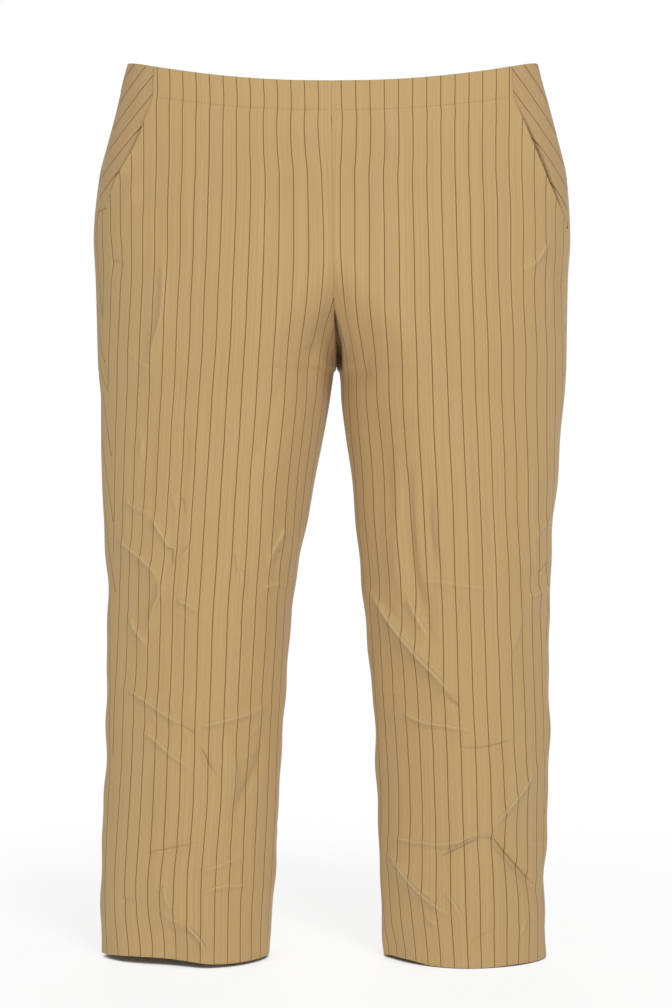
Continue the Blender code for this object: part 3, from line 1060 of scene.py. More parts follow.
@dataclass
class EdgeTurn:
    """A raw edge that is turned to the inside along a small round fold."""

    allowance: float
    depth: float
    cloth: float
    steps: int = 4

    def path(self) -> list[Turn]:
        """Steps from the raw edge, round the fold, to the outer layer.

        Returns:
            The steps in order.
        """
        radius = self.depth / 2.0
        face = 0.5 * self.cloth
        made = [
            Turn(a, self.depth, 0.0)
            for a in np.linspace(self.allowance, radius + face, self.steps)
        ]
        for angle in (150.0, 120.0, 90.0, 60.0, 30.0):
            bend = math.radians(angle)
            along = face + radius * (1.0 - math.sin(bend))
            made.append(Turn(along, radius * (1.0 - math.cos(bend)), 0.5))
        made.append(Turn(radius + face, 0.0, 1.0))
        made.append(Turn(radius + face + 0.9, 0.0, 1.0))
        return made


def add_node(
    tree: Tree, kind: str, inputs: dict | None = None, settings: dict | None = None
) -> bpy.types.Node:
    """Adds a node with its settings and links.

    Args:
        tree: The material's node tree.
        kind: The node's type.
        inputs: Values, or output sockets to link, by input name or number.
        settings: The node's own settings.

    Returns:
        The node.
    """
    node = tree.nodes.new(kind)
    for name, value in (settings or {}).items():
        setattr(node, name, value)
    for name, value in (inputs or {}).items():
        if isinstance(value, Socket):
            tree.links.new(value, node.inputs[name])
        else:
            node.inputs[name].default_value = value
    return node


def math_node(tree: Tree, operation: str, *values: object) -> Socket:
    """Adds one step of arithmetic.

    Args:
        tree: The material's node tree.
        operation: What it does.
        values: Numbers or output sockets.

    Returns:
        The result.
    """
    inputs = dict(enumerate(values))
    return add_node(tree, "ShaderNodeMath", inputs, {"operation": operation}).outputs[0]


def map_range(
    tree: Tree, value: Socket, limits: tuple, ends: tuple, kind: str = "SMOOTHSTEP"
) -> Socket:
    """Adds a ramp of a value between two limits.

    Args:
        tree: The material's node tree.
        value: The value.
        limits: Where the ramp begins and where it stops.
        ends: What it gives up to there and from there on.
        kind: How it goes from one to the other.

    Returns:
        The result.
    """
    inputs = {"Value": value, "From Min": limits[0], "From Max": limits[1]}
    inputs.update({"To Min": ends[0], "To Max": ends[1]})
    node = add_node(tree, "ShaderNodeMapRange", inputs, {"interpolation_type": kind})
    return node.outputs["Result"]


def mix_colour(tree: Tree, share: Socket, one: object, other: object) -> Socket:
    """Adds a mix of two colours.

    Args:
        tree: The material's node tree.
        share: How much of the other colour there is.
        one: The first colour or its socket.
        other: The other colour or its socket.

    Returns:
        The mixed colour.
    """
    inputs = {0: share, 6: one, 7: other}
    return add_node(tree, "ShaderNodeMix", inputs, {"data_type": "RGBA"}).outputs[2]


def new_material(name: str) -> tuple[Material, Tree]:
    """Starts a material that has only its output.

    Args:
        name: The material's name.

    Returns:
        The material and its node tree.
    """
    material = bpy.data.materials.new(name)
    material.use_nodes = True
    tree = material.node_tree
    tree.nodes.clear()
    add_node(tree, "ShaderNodeOutputMaterial").name = "out"
    return material, tree


def show(tree: Tree, shader: Socket) -> None:
    """Links a shader to the material's output."""
    tree.links.new(shader, tree.nodes["out"].inputs["Surface"])


@dataclass(frozen=True)
class PinstripeCloth:
    """Yarn-dyed plain-weave viscose and linen blend, brushed smooth.

    It is matt, with a painted highlight along the crests of its folds. The ground is woven from
    yarns that differ a little, so faint lines run down the grain between the dark pinstripes.
    """

    ground: str = "#BD9E6B"
    ground_light: str = "#C0A170"
    ground_dark: str = "#B99A69"
    stripe: str = "#775330"
    painted_highlight: str = "#E0C696"
    pitch_mm: float = 14.65
    stripe_mm: float = 0.87
    yarn_mm: float = 0.55
    waver_m: float = 0.00022
    stripe_soft: float = 0.28
    weft_share: float = 0.14
    ramp_half: float = 0.14
    weave_height: float = 0.35
    weave_bump_m: float = 0.00012
    steep_mm: float = 2.8
    soft_mm: float = 9.0
    painted_highlight_mm: float = 2.7
    painted_highlight_aside_mm: float = 0.5
    painted_highlight_per_mm: float = 0.14
    painted_highlight_most: float = 0.36

    def build(self, name: str) -> Material:
        """Makes the cloth's material, patterned on the piece's own UV map in metres.

        Args:
            name: The material's name.

        Returns:
            The material.
        """
        material, tree = new_material(name)
        uv = add_node(tree, "ShaderNodeUVMap", settings={"uv_map": "cloth"}).outputs["UV"]
        split = add_node(tree, "ShaderNodeSeparateXYZ", {"Vector": uv})
        place = split.outputs["X"], split.outputs["Y"]

        # Ground yarns: faint lines down the grain, a few yarns wide so that they show.
        warp = self.yarns(tree, place, (520.0, 3.0), 3.0)
        weft = self.yarns(tree, place, (60.0, 1500.0), 1.0)
        warp = math_node(tree, "MULTIPLY", warp, 1.0 - self.weft_share)
        mixed = math_node(tree, "MULTIPLY_ADD", weft, self.weft_share, warp)
        ground = add_node(tree, "ShaderNodeValToRGB", {"Fac": mixed})
        ramp = ground.color_ramp
        ramp.elements[0].position = 0.5 - self.ramp_half
        ramp.elements[0].color = linear_from_hex(self.ground_dark)
        ramp.elements[1].position = 0.5 + self.ramp_half
        ramp.elements[1].color = linear_from_hex(self.ground_light)
        ramp.elements.new(0.5).color = linear_from_hex(self.ground)
        stripes, colour = self.stripes(tree, uv, place[0]), ground.outputs["Color"]
        colour = mix_colour(tree, stripes, colour, linear_from_hex(self.stripe))
        # Painted highlight: the colour is made paler along the crests of the set-in creases.
        away = self.attribute(tree, "crease_away")
        crest = self.attribute(tree, "crease_height")
        crest_highlight_share = self.painted_crest_highlight(tree, away, crest)
        colour = mix_colour(tree, crest_highlight_share, colour, linear_from_hex(self.painted_highlight))

        # Plain weave: warp and weft waves cross at half a yarn.
        turns = math.tau / (self.yarn_mm * MM)
        over, under = (
            math_node(tree, "SINE", math_node(tree, "MULTIPLY", way, turns)) for way in place
        )
        weave = math_node(tree, "MULTIPLY", over, under)
        height = math_node(tree, "MULTIPLY_ADD", weave, self.weave_height, mixed)
        bump = add_node(
            tree,
            "ShaderNodeBump",
            {"Strength": 0.35, "Distance": self.weave_bump_m, "Height": height,
             "Normal": self.crease_lines(tree, away, crest)},
        )
        shader = add_node(
            tree,
            "ShaderNodeBsdfPrincipled",
            {"Base Color": colour, "Normal": bump.outputs["Normal"], "Roughness": 0.82,
             "Sheen Weight": 0.25, "Sheen Roughness": 0.45, "Specular IOR Level": 0.25},
        )
        show(tree, shader.outputs["BSDF"])
        return material

    def stripes(self, tree: Tree, uv: Socket, across: Socket) -> Socket:
        """Adds the pinstripes, which waver by a hair, as a woven yarn does.

        Args:
            tree: The material's node tree.
            uv: The place on the cloth.
            across: The place across the grain.

        Returns:
            The share of the stripe's colour.
        """
        inputs = {"Vector": uv, "Scale": 60.0, "Detail": 2.0}
        waver = add_node(tree, "ShaderNodeTexNoise", inputs).outputs["Fac"]
        shifted = math_node(tree, "MULTIPLY_ADD", waver, self.waver_m, across)
        turns = math_node(tree, "DIVIDE", shifted, self.pitch_mm * MM)
        near = math_node(tree, "PINGPONG", turns, 0.5)
        width = 0.5 * self.stripe_mm / self.pitch_mm
        limits = (1.0 - self.stripe_soft) * width, (1.0 + self.stripe_soft) * width
        return map_range(tree, near, limits, (1.0, 0.0), "LINEAR")

    @staticmethod
    def yarns(tree: Tree, place: tuple, scales: tuple, detail: float) -> Socket:
        """Adds the uneven shade of one set of yarns.

        Args:
            tree: The material's node tree.
            place: The place across and along the grain, in metres.
            scales: How fine the noise is each way, per metre.
            detail: How many finer layers the noise has.

        Returns:
            The shade, 0.5 on average.
        """
        inputs = {
            way: math_node(tree, "MULTIPLY", at, scale)
            for way, at, scale in zip("XY", place, scales)
        }
        at = add_node(tree, "ShaderNodeCombineXYZ", inputs).outputs["Vector"]
        inputs = {"Vector": at, "Scale": 1.0, "Detail": detail}
        return add_node(tree, "ShaderNodeTexNoise", inputs).outputs["Fac"]

    @staticmethod
    def attribute(tree: Tree, name: str) -> Socket:
        """Adds a named value of the mesh's points."""
        settings = {"attribute_name": name}
        return add_node(tree, "ShaderNodeAttribute", settings=settings).outputs["Fac"]

    def painted_crest_highlight(self, tree: Tree, away: Socket, crest: Socket) -> Socket:
        """Adds the share of a pale painted highlight along the crests of creases.

        Args:
            tree: The material's node tree.
            away: The distance from the nearest crease's line.
            crest: The crease's height.

        Returns:
            The share, 0 away from the crests.
        """
        aside = math_node(tree, "SUBTRACT", away, self.painted_highlight_aside_mm)
        aside = math_node(tree, "ABSOLUTE", aside)
        line = map_range(tree, aside, (0.0, self.painted_highlight_mm), (1.0, 0.0))
        high = math_node(tree, "MULTIPLY", crest, self.painted_highlight_per_mm)
        high = math_node(tree, "MAXIMUM", high, 0.0)
        held = math_node(tree, "MINIMUM", high, self.painted_highlight_most)
        return math_node(tree, "MULTIPLY", line, held)

    def crease_lines(self, tree: Tree, away: Socket, crest: Socket) -> Socket:
        """Adds the sharp lines of creases that have set in the cloth.

        Args:
            tree: The material's node tree.
            away: The distance from the nearest crease's line.
            crest: The crease's height.

        Returns:
            The normal, steep to one side of each crease and soft to the other.
        """
        steep = map_range(tree, away, (0.0, self.steep_mm), (1.0, 0.0))
        soft = map_range(tree, away, (-self.soft_mm, 0.0), (0.0, 1.0))
        height = math_node(tree, "MULTIPLY", steep, soft)
        height = math_node(tree, "MULTIPLY", height, crest)
        inputs = {"Strength": 1.0, "Distance": MM, "Height": height}
        return add_node(tree, "ShaderNodeBump", inputs).outputs["Normal"]


@dataclass(frozen=True)
class SewingThread:
    """Spun polyester sewing thread, a shade darker than the cloth, slightly glossy."""

    colour: str = "#A98655"
    between_plies: float = 0.7

    def build(self, name: str) -> Material:
        """Makes the thread's material.

        Args:
            name: The material's name.

        Returns:
            The material.
        """
        material, tree = new_material(name)
        place = add_node(tree, "ShaderNodeTexCoord").outputs["Object"]
        inputs = {"Vector": place, "Scale": 2600.0, "Detail": 2.0}
        ply = add_node(tree, "ShaderNodeTexNoise", inputs)
        shade = add_node(tree, "ShaderNodeValToRGB", {"Fac": ply.outputs["Fac"]})
        base = linear_from_hex(self.colour)
        dark = tuple(self.between_plies * part for part in base[:3]) + (1.0,)
        shade.color_ramp.elements[0].color = dark
        shade.color_ramp.elements[1].color = base
        inputs = {"Base Color": shade.outputs["Color"], "Roughness": 0.55, "Sheen Weight": 0.2}
        show(tree, add_node(tree, "ShaderNodeBsdfPrincipled", inputs).outputs["BSDF"])
        return material


@dataclass(frozen=True)
class LightTable:
    """Opal acrylic table, matt, with a painted glow that rises to white away from the feet."""

    colour: str = "#FBFAF9"
    painted_glow_near: float = 0.86
    painted_glow_from: float = 0.26
    painted_glow_to: float = 1.10
    shade_reach: float = 0.3
    shade_full: float = 0.14
    shade_none: float = 0.6

    def build(self, name: str) -> Material:
        """Makes the table's material.

        Args:
            name: The material's name.

        Returns:
            The material.
        """
        material, tree = new_material(name)
        place = add_node(tree, "ShaderNodeTexCoord").outputs["Object"]
        away = add_node(tree, "ShaderNodeVectorMath", {0: place}, {"operation": "LENGTH"})
        # Painted glow: a little weaker near the feet, and full white away from them.
        limits = self.painted_glow_from, self.painted_glow_to
        painted_glow = map_range(tree, away.outputs["Value"], limits, (self.painted_glow_near, 1.0))
        # Painted shade: the glow is taken away where ambient occlusion is high, inside the legs,
        # and partly close to the hems.
        inputs = {"Distance": self.shade_reach}
        open_share = add_node(tree, "ShaderNodeAmbientOcclusion", inputs).outputs["AO"]
        limits = self.shade_full, self.shade_none
        glow_outside_painted_shade = map_range(tree, open_share, limits, (0.0, 1.0))
        matt = add_node(tree, "ShaderNodeBsdfDiffuse", {"Color": linear_from_hex(self.colour)})
        glow = add_node(tree, "ShaderNodeEmission", {"Strength": 1.0})
        both = add_node(
            tree,
            "ShaderNodeMixShader",
            {"Fac": math_node(tree, "MULTIPLY", painted_glow, glow_outside_painted_shade), 1: matt.outputs["BSDF"],
             2: glow.outputs["Emission"]},
        )
        show(tree, both.outputs["Shader"])
        return material


def mesh_object(
    name: str, points: Array, corners: Array, counts: Array, material: Material
) -> bpy.types.Object:
    """Makes an object at the origin from points and faces, shaded smooth.

    Args:
        name: The object's name.
        points: The points in millimetres, one in each row.
        corners: The numbers of the faces' points, in a row.
        counts: How many corners each face has.
        material: What it is made of.

    Returns:
        The object, in the scene.
    """
    mesh = bpy.data.meshes.new(name)
    mesh.vertices.add(len(points))
    mesh.vertices.foreach_set("co", (points * MM).ravel())
    mesh.loops.add(len(corners))
    mesh.loops.foreach_set("vertex_index", corners)
    mesh.polygons.add(len(counts))
    mesh.polygons.foreach_set("loop_start", np.cumsum(counts) - counts)
    mesh.update(calc_edges=True)
    mesh.validate()
    mesh.polygons.foreach_set("use_smooth", np.ones(len(mesh.polygons), bool))
    mesh.materials.append(material)
    made = bpy.data.objects.new(name, mesh)
    bpy.context.scene.collection.objects.link(made)
    return made


@dataclass
class ClothSheet:
    """A sheet of cloth as a grid of points, made a shell of the cloth's thickness."""

    name: str
    points: Array
    uv: Array
    thickness: float
    creases: Array | None = None

    def build(self, material: Material) -> bpy.types.Object:
        """Makes the sheet's object with its UV map.

        Args:
            material: The cloth.

        Returns:
            The object, at the origin.
        """
        rows, columns = self.points.shape[:2]
        index = np.arange(rows * columns).reshape(rows, columns)
        a, b = index[:-1, :-1], index[:-1, 1:]
        c, d = index[1:, 1:], index[1:, :-1]
        quads = np.stack([a, b, c, d], axis=-1).reshape(-1, 4)
        counts = np.full(len(quads), 4)
        flat = self.points.reshape(-1, 3)
        made = mesh_object(self.name, flat, quads.ravel(), counts, material)
        mesh = made.data
        layer = mesh.uv_layers.new(name="cloth")
        layer.data.foreach_set("uv", (self.uv.reshape(-1, 2)[quads.ravel()] * MM).ravel())
        if self.creases is not None:
            for number, name in enumerate(("crease_away", "crease_height")):
                values = mesh.attributes.new(name, "FLOAT", "POINT")
                values.data.foreach_set("value", self.creases[..., number].ravel())
        bpy.ops.object.select_all(action="DESELECT")
        made.select_set(True)
        bpy.context.view_layer.objects.active = made
        shell = made.modifiers.new("cloth_thickness", "SOLIDIFY")
        shell.thickness = self.thickness * MM
        shell.offset = 0.0
        bpy.ops.object.modifier_apply(modifier=shell.name)
        return made


@dataclass
class StitchRun:
    """A run of stitches on the cloth: one is modelled, and the others are copies of it."""

    name: str
    line: Array
    outward: Array
    length: float = 2.1
    pitch: float = 2.8
    radius: float = 0.2
    crosswise: bool = False

    def model(self) -> tuple[Array, Array, Array]:
        """Models one stitch along X.

        Returns:
            Its points, the corners of its faces in a row, and each face's count of them.
        """
        bpy.ops.object.select_all(action="DESELECT")
        bpy.ops.mesh.primitive_uv_sphere_add(
            segments=6, ring_count=4, radius=self.radius, rotation=(0, math.pi / 2, 0)
        )
        made = bpy.context.active_object
        bpy.ops.object.transform_apply(location=True, rotation=True, scale=True)
        bpy.ops.object.mode_set(mode="EDIT")
        bpy.ops.mesh.select_all(action="SELECT")
        bpy.ops.transform.resize(value=(0.5 * self.length / self.radius, 1.0, 1.0))
        bpy.ops.object.mode_set(mode="OBJECT")
        mesh = made.data
        points = np.zeros(len(mesh.vertices) * 3)
        mesh.vertices.foreach_get("co", points)
        corners = np.zeros(len(mesh.loops), int)
        mesh.loops.foreach_get("vertex_index", corners)
        counts = np.array([face.loop_total for face in mesh.polygons])
        bpy.data.objects.remove(made)
        return points.reshape(-1, 3), corners, counts

    def places(self) -> tuple[Array, Array]:
        """Spaces the stitches evenly along the line.

        Returns:
            Their middles, and the three axes of each.
        """
        steps = np.linalg.norm(np.diff(self.line, axis=0), axis=1)
        run = np.concatenate([[0.0], np.cumsum(steps)])
        count = max(int((run[-1] - self.length) / self.pitch) + 1, 1)
        at = 0.5 * run[-1] + (np.arange(count) - 0.5 * (count - 1)) * self.pitch

        def along(values: Array, where: Array) -> Array:
            """Values at places on the line."""
            return np.stack([np.interp(where, run, values[:, k]) for k in range(3)], axis=1)

        ahead = along(self.line, at + 0.6) - along(self.line, at - 0.6)
        ahead /= np.linalg.norm(ahead, axis=1, keepdims=True)
        up = along(self.outward, at)
        up -= ahead * (up * ahead).sum(axis=1, keepdims=True)
        up /= np.linalg.norm(up, axis=1, keepdims=True)
        beside = np.cross(up, ahead)
        axes = [beside, -ahead, up] if self.crosswise else [ahead, beside, up]
        return along(self.line, at) + 0.4 * self.radius * up, np.stack(axes, axis=1)

    def build(self, material: Material) -> bpy.types.Object:
        """Joins the copies in one piece.

        Args:
            material: The thread.

        Returns:
            The stitches, as one object at the origin.
        """
        points, corners, counts = self.model()
        middles, axes = self.places()
        copies = middles[:, None, :] + np.einsum("pk,nkd->npd", points, axes)
        shift = np.arange(len(middles))[:, None] * len(points)
        indices = (corners[None, :] + shift).ravel()
        totals = np.tile(counts, len(middles))
        made = mesh_object(self.name, copies.reshape(-1, 3), indices, totals, material)
        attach(made, "root")
        LOG.info("%s: %d stitches", made.name, len(middles))
        return made


@dataclass(frozen=True)
class EdgeDraw:
    """How far stitching draws the cloth in, and how far from its line, in millimetres."""

    casing: float = 0.4
    casing_reach: float = 2.2
    hem: float = 0.22
    hem_reach: float = 2.4
    seam: float = 0.45
    seam_reach: float = 1.7
    pucker: float = 0.14
    pucker_reach: float = 8.0


@dataclass(frozen=True)
class ThighFold:
    """The deep fold above the crotch: heights where it starts to open, widen and close."""

    depth: float = 32.0
    opens: float = -258.0
    opens_over: float = 18.0
    widens: float = -254.0
    widens_over: float = 46.0
    closes: float = -322.0
    closes_over: float = 4.0
    edge: float = 1.4


@dataclass
class Panel:
    """A front or back panel from waist to hem, with its turned edges."""

    name: str
    node: str
    face: Face
    form: TrouserForm
    cut: Cut
    row_step: float = 2.6
    column_step: float = 2.6
    cloth: float = 0.45
    hem: float = 31.0
    casing_depth: float = 1.7
    seam_depth: float = 0.5
    hem_depth: float = 1.1
    allowance: float = 9.0
    pocket_fade: float = 9.0
    draw: EdgeDraw = EdgeDraw()
    thigh_fold: ThighFold = ThighFold()

    @property
    def fold_width(self) -> float:
        """Width of the panel's share of the fold above the crotch."""
        return 6.6 if self.form.side is Side.LEFT else 0.6

    def row_path(self) -> tuple[Array, Array, Array]:
        """Rows from the casing's raw edge over the rim and down to the hem's raw edge.

        Returns:
            Heights at the side seam, depths of the layer, and its layer weight.
        """
        hem_z = self.form.hem_z
        casing = EdgeTurn(self.form.casing, self.casing_depth, self.cloth, 9).path()
        hem = EdgeTurn(self.hem, self.hem_depth, self.cloth, 9).path()
        top = [(-t.along, t.depth, t.layer) for t in casing]
        low = [(hem_z + t.along, t.depth, t.layer) for t in reversed(hem)]
        first, last = top[-1][0], low[0][0]
        count = int((first - last) / self.row_step)
        body = [(z, 0.0, 1.0) for z in np.linspace(first, last, count)[1:-1]]
        rows = np.array(top + body + low)
        return rows[:, 0], rows[:, 1], rows[:, 2]

    def edges(self, row_z: Array) -> tuple[Array, Array]:
        """Finds the panel's outer and inner edges.

        Args:
            row_z: Heights of the rows at the side seam.

        Returns:
            The angles of both edges in each row.
        """
        gap = 0.5 * self.form.seam_gap
        if self.face is Face.FRONT:
            seam = self.form.pocket_edge(row_z)
            start = self.form.moved_round(seam, row_z, gap)
            return start, self.form.inner_seam(row_z, Face.FRONT)
        seam = self.form.side_seam(row_z)
        start = self.form.moved_round(seam, row_z, -gap)
        return start, -self.form.inner_seam(row_z, Face.BACK)

    def grain_theta(self, z: Array) -> Array:
        """Finds the panel's grain line.

        Args:
            z: Heights in millimetres.

        Returns:
            Its angle at each height.
        """
        name = self.face.value + self.form.tag
        theta = self.form.theta_at(z, read(GRAIN, name, z))
        return theta if self.face is Face.FRONT else -theta

    def column_path(self, length: Array) -> tuple[Array, Array]:
        """Columns from one raw edge round its fold, across, and round the other.

        Args:
            length: Width of the panel in each row.

        Returns:
            Distance from the outer seam in each row and column, and each column's depth.
        """
        turn = EdgeTurn(self.allowance, self.seam_depth, self.cloth).path()
        near = np.array([t.along for t in turn])
        depth = np.array([t.depth for t in turn])
        columns = int(np.median(length) / self.column_step)
        main = np.linspace(0.0, 1.0, columns)[1:-1]
        across = near[-1] + (length[:, None] - near[-1] - near[-1]) * main
        start = np.broadcast_to(near, (len(length), len(near)))
        end = length[:, None] - near[::-1]
        distance = np.concatenate([start, across, end], axis=1)
        return distance, np.concatenate([depth, np.zeros(len(main)), depth[::-1]])

    def sheet(self) -> ClothSheet:
        """Works out the panel's points and their place on the flat cloth.

        Returns:
            The sheet.
        """
        rows, row_depth, row_layer = self.row_path()
        row_z = rows[:, None]
        theta, length = self.form.unrolled(self.edges(rows), rows, 401)
        width = length[:, -1:]
        distance, depth = self.column_path(length[:, -1])
        angles = interp_rows(distance, length, theta)
        sign = 1.0 if self.face is Face.FRONT else -1.0
        to_grain = interp_rows(sign * self.grain_theta(rows), sign * theta, length)
        across = distance - to_grain[:, None]
        if self.face is Face.FRONT:
            tag = self.form.tag
            outward = read(EASE, "out" + tag, row_z)
            inward = read(EASE, "in" + tag, row_z)
            across = across * np.where(across < 0, outward, inward)
        heights = self.form.dipped(angles, row_z)
        # The turned allowances lie between the layers of the casing and of the hem.
        flip = np.where(row_layer > 0.5, 1.0, np.where(row_layer > 0.25, 0.0, -1.0))
        out = -0.5 * self.cloth - row_depth[:, None] - depth[None, :] * flip[:, None]
        out = out + self.edge_lift(row_z, distance, width)
        points = self.form.placed(angles, heights, out)
        smooth_form = self.form.plain(angles, heights)
        # Above the crotch the edge stays in the plane of the centre seam.
        held = bell(width - distance, 6.0) * smooth((row_z - self.form.crotch_z) / 4.0)
        points[..., 0] += (smooth_form[..., 0] - points[..., 0]) * held
        self.lift_hem(points, row_z, angles)
        along = np.broadcast_to(row_z, angles.shape)
        across = across + self.waver(across, along)
        if self.face is Face.FRONT:
            self.part_thighs(points)
            across = across + self.pulled(smooth_form)
        lines = self.form.creases.lines(angles, smooth_form)
        uv = np.stack([across, along], axis=-1)
        return ClothSheet(self.name, points, uv, self.cloth, lines)

    def waver(self, across: Array, along: Array) -> Array:
        """How far the stripes stray from straight, a little more below the casing's seam.

        Args:
            across: Place on the flat cloth from the grain line.
            along: Height on the flat cloth.

        Returns:
            Millimetres to add across.
        """
        soft = 0.35 * np.sin(along / 53.0 + across / 38.0)
        soft = soft + 0.22 * np.sin(along / 19.0 - across / 27.0 + 1.3)
        below = bell(along + self.form.casing + 7.0, 9.0)
        return soft + 0.35 * below * np.sin(across / 16.0 + 0.8 + self.form.side.value)

    def pulled(self, points: Array) -> Array:
        """Works out how far the front's stripes are pulled across.

        Args:
            points: Points of the smooth form, in millimetres.

        Returns:
            Millimetres to add across on the flat cloth.
        """
        total = np.zeros(points.shape[:-1])
        for tug in TUGS:
            across = (points[..., 0] - tug.x) / tug.reach_x
            up = (points[..., 2] - tug.z) / tug.reach_z
            total += self.form.side.value * tug.shift * np.exp(-(across**2) - up**2)
        return total

    def lift_hem(self, points: Array, row_z: Array, theta: Array) -> None:
        """Raises the front of the hem where it stands off the floor.

        Args:
            points: The panel's points, which are moved up.
            row_z: Heights of the rows at the side seam.
            theta: Angles round the ring, above 0 to the front.
        """
        places = [row.x for row in HEM_LIFTS]
        lifts = [row.lift for row in HEM_LIFTS]
        share = bell(row_z - self.form.hem_z, 30.0)
        share = share * smooth((theta + 0.75) / 0.75)
        points[..., 2] += share * np.interp(points[..., 0], places, lifts)

    def part_thighs(self, points: Array) -> None:
        """Sinks the cloth beside the centre seam into the deep fold above the crotch.

        Args:
            points: The panel's points, which are moved back as far as the seam.
        """
        fold = self.thigh_fold
        x, z = points[..., 0], points[..., 2]
        beside = np.abs(x - read(RINGS, "middle", z)) - 0.5 * read(RINGS, "apart", z)
        open_at = smooth((fold.opens - z) / fold.opens_over)
        open_at = open_at * smooth((z - fold.closes) / fold.closes_over)
        wide = self.fold_width * smooth((fold.widens - z) / fold.widens_over)
        near = 1.0 - smooth((beside - wide + 1.0) / fold.edge)
        seam_y = points[:, -12:, 1].max(axis=1, keepdims=True)
        # It goes in as far as the fold is deep, but stops short of the backs.
        floor_y = np.minimum(seam_y + fold.depth, -1.05 * seam_y - 5.0)
        points[..., 1] += np.clip(floor_y - points[..., 1], 0.0, None) * open_at * near

    def edge_lift(self, row_z: Array, distance: Array, width: Array) -> Array:
        """How far the sheet stands off near its stitched lines and its pocket edge.

        Args:
            row_z: Heights of the rows at the side seam.
            distance: Distance of each column from the outer seam.
            width: Width of each row.

        Returns:
            Millimetres out from the form.
        """
        draw = self.draw
        above_casing = row_z + self.form.casing
        hem_line = self.form.hem_z + self.hem
        pucker = np.sin(distance / 2.6) + 0.8 * np.sin(distance / 4.3 + 1.7)
        lift = draw.pucker * np.exp(-np.abs(above_casing) / draw.pucker_reach) * pucker
        lift = lift - draw.casing * bell(above_casing, draw.casing_reach)
        lift = lift - draw.hem * bell(row_z - hem_line, draw.hem_reach)
        lift = lift - draw.seam * bell(width - distance, draw.seam_reach)
        if self.face is Face.FRONT:
            reach = 1.5 if self.form.side is Side.LEFT else 1.2
            hump = self.form.along_pocket(row_z, 6.0) ** 1.2
            fade = np.exp(-np.clip(distance, 0, None) / self.pocket_fade)
            lift = lift + reach * hump * fade
        return lift

    def build(self, material: Material, thread: Material) -> None:
        """Makes the panel and puts it in place of its solid.

        Args:
            material: The cloth.
            thread: The sewing thread.
        """
        sheet = self.sheet()
        made = sheet.build(material)
        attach(made, "root")
        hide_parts(self.node)
        stitches = self.stitches(sheet.points, thread)
        LOG.info("%s: %d faces", made.name, len(made.data.polygons))

    def stitches(self, points: Array, thread: Material) -> list:
        """Sews the casing's line, the blind hem's pricks and the pocket's bartack.

        Args:
            points: The sheet's points.
            thread: The thread.

        Returns:
            The runs of stitches.
        """
        row_z, _, row_layer = self.row_path()
        shown = np.where(row_layer > 0.9, row_z, 1e6)
        outward = np.cross(np.gradient(points, axis=1), np.gradient(points, axis=0))
        outward *= self.form.side.value * (1.0 if self.face is Face.FRONT else -1.0)
        outward /= np.linalg.norm(outward, axis=-1, keepdims=True) + 1e-12
        face = points + 0.5 * self.cloth * outward

        def run(name: str, z: float, first: int, last: int, **sizes: float) -> object:
            """Sews a run along the row nearest to a height.

            Args:
                name: What the run is, for its name.
                z: The height at the side seam.
                first: Its first column.
                last: The column after its last.
                sizes: Sizes of the stitches.

            Returns:
                The run.
            """
            row = int(np.abs(shown - z).argmin())
            columns = slice(first, last)
            label = self.name + "_" + name
            made = StitchRun(label, face[row, columns], outward[row, columns], **sizes)
            return made.build(thread)

        hem_line = self.form.hem_z + self.hem
        made = [
            run("casing_stitches", -self.form.casing, 11, -11),
            run("hem_stitches", hem_line, 12, -12, length=0.9, pitch=9.5, radius=0.14),
        ]
        if self.face is Face.FRONT:
            foot = self.form.pocket_foot
            made.append(
                run("bartack", foot + 2.0, 9, 12, length=1.7, pitch=0.42, radius=0.24,
                    crosswise=True)
            )
        return made


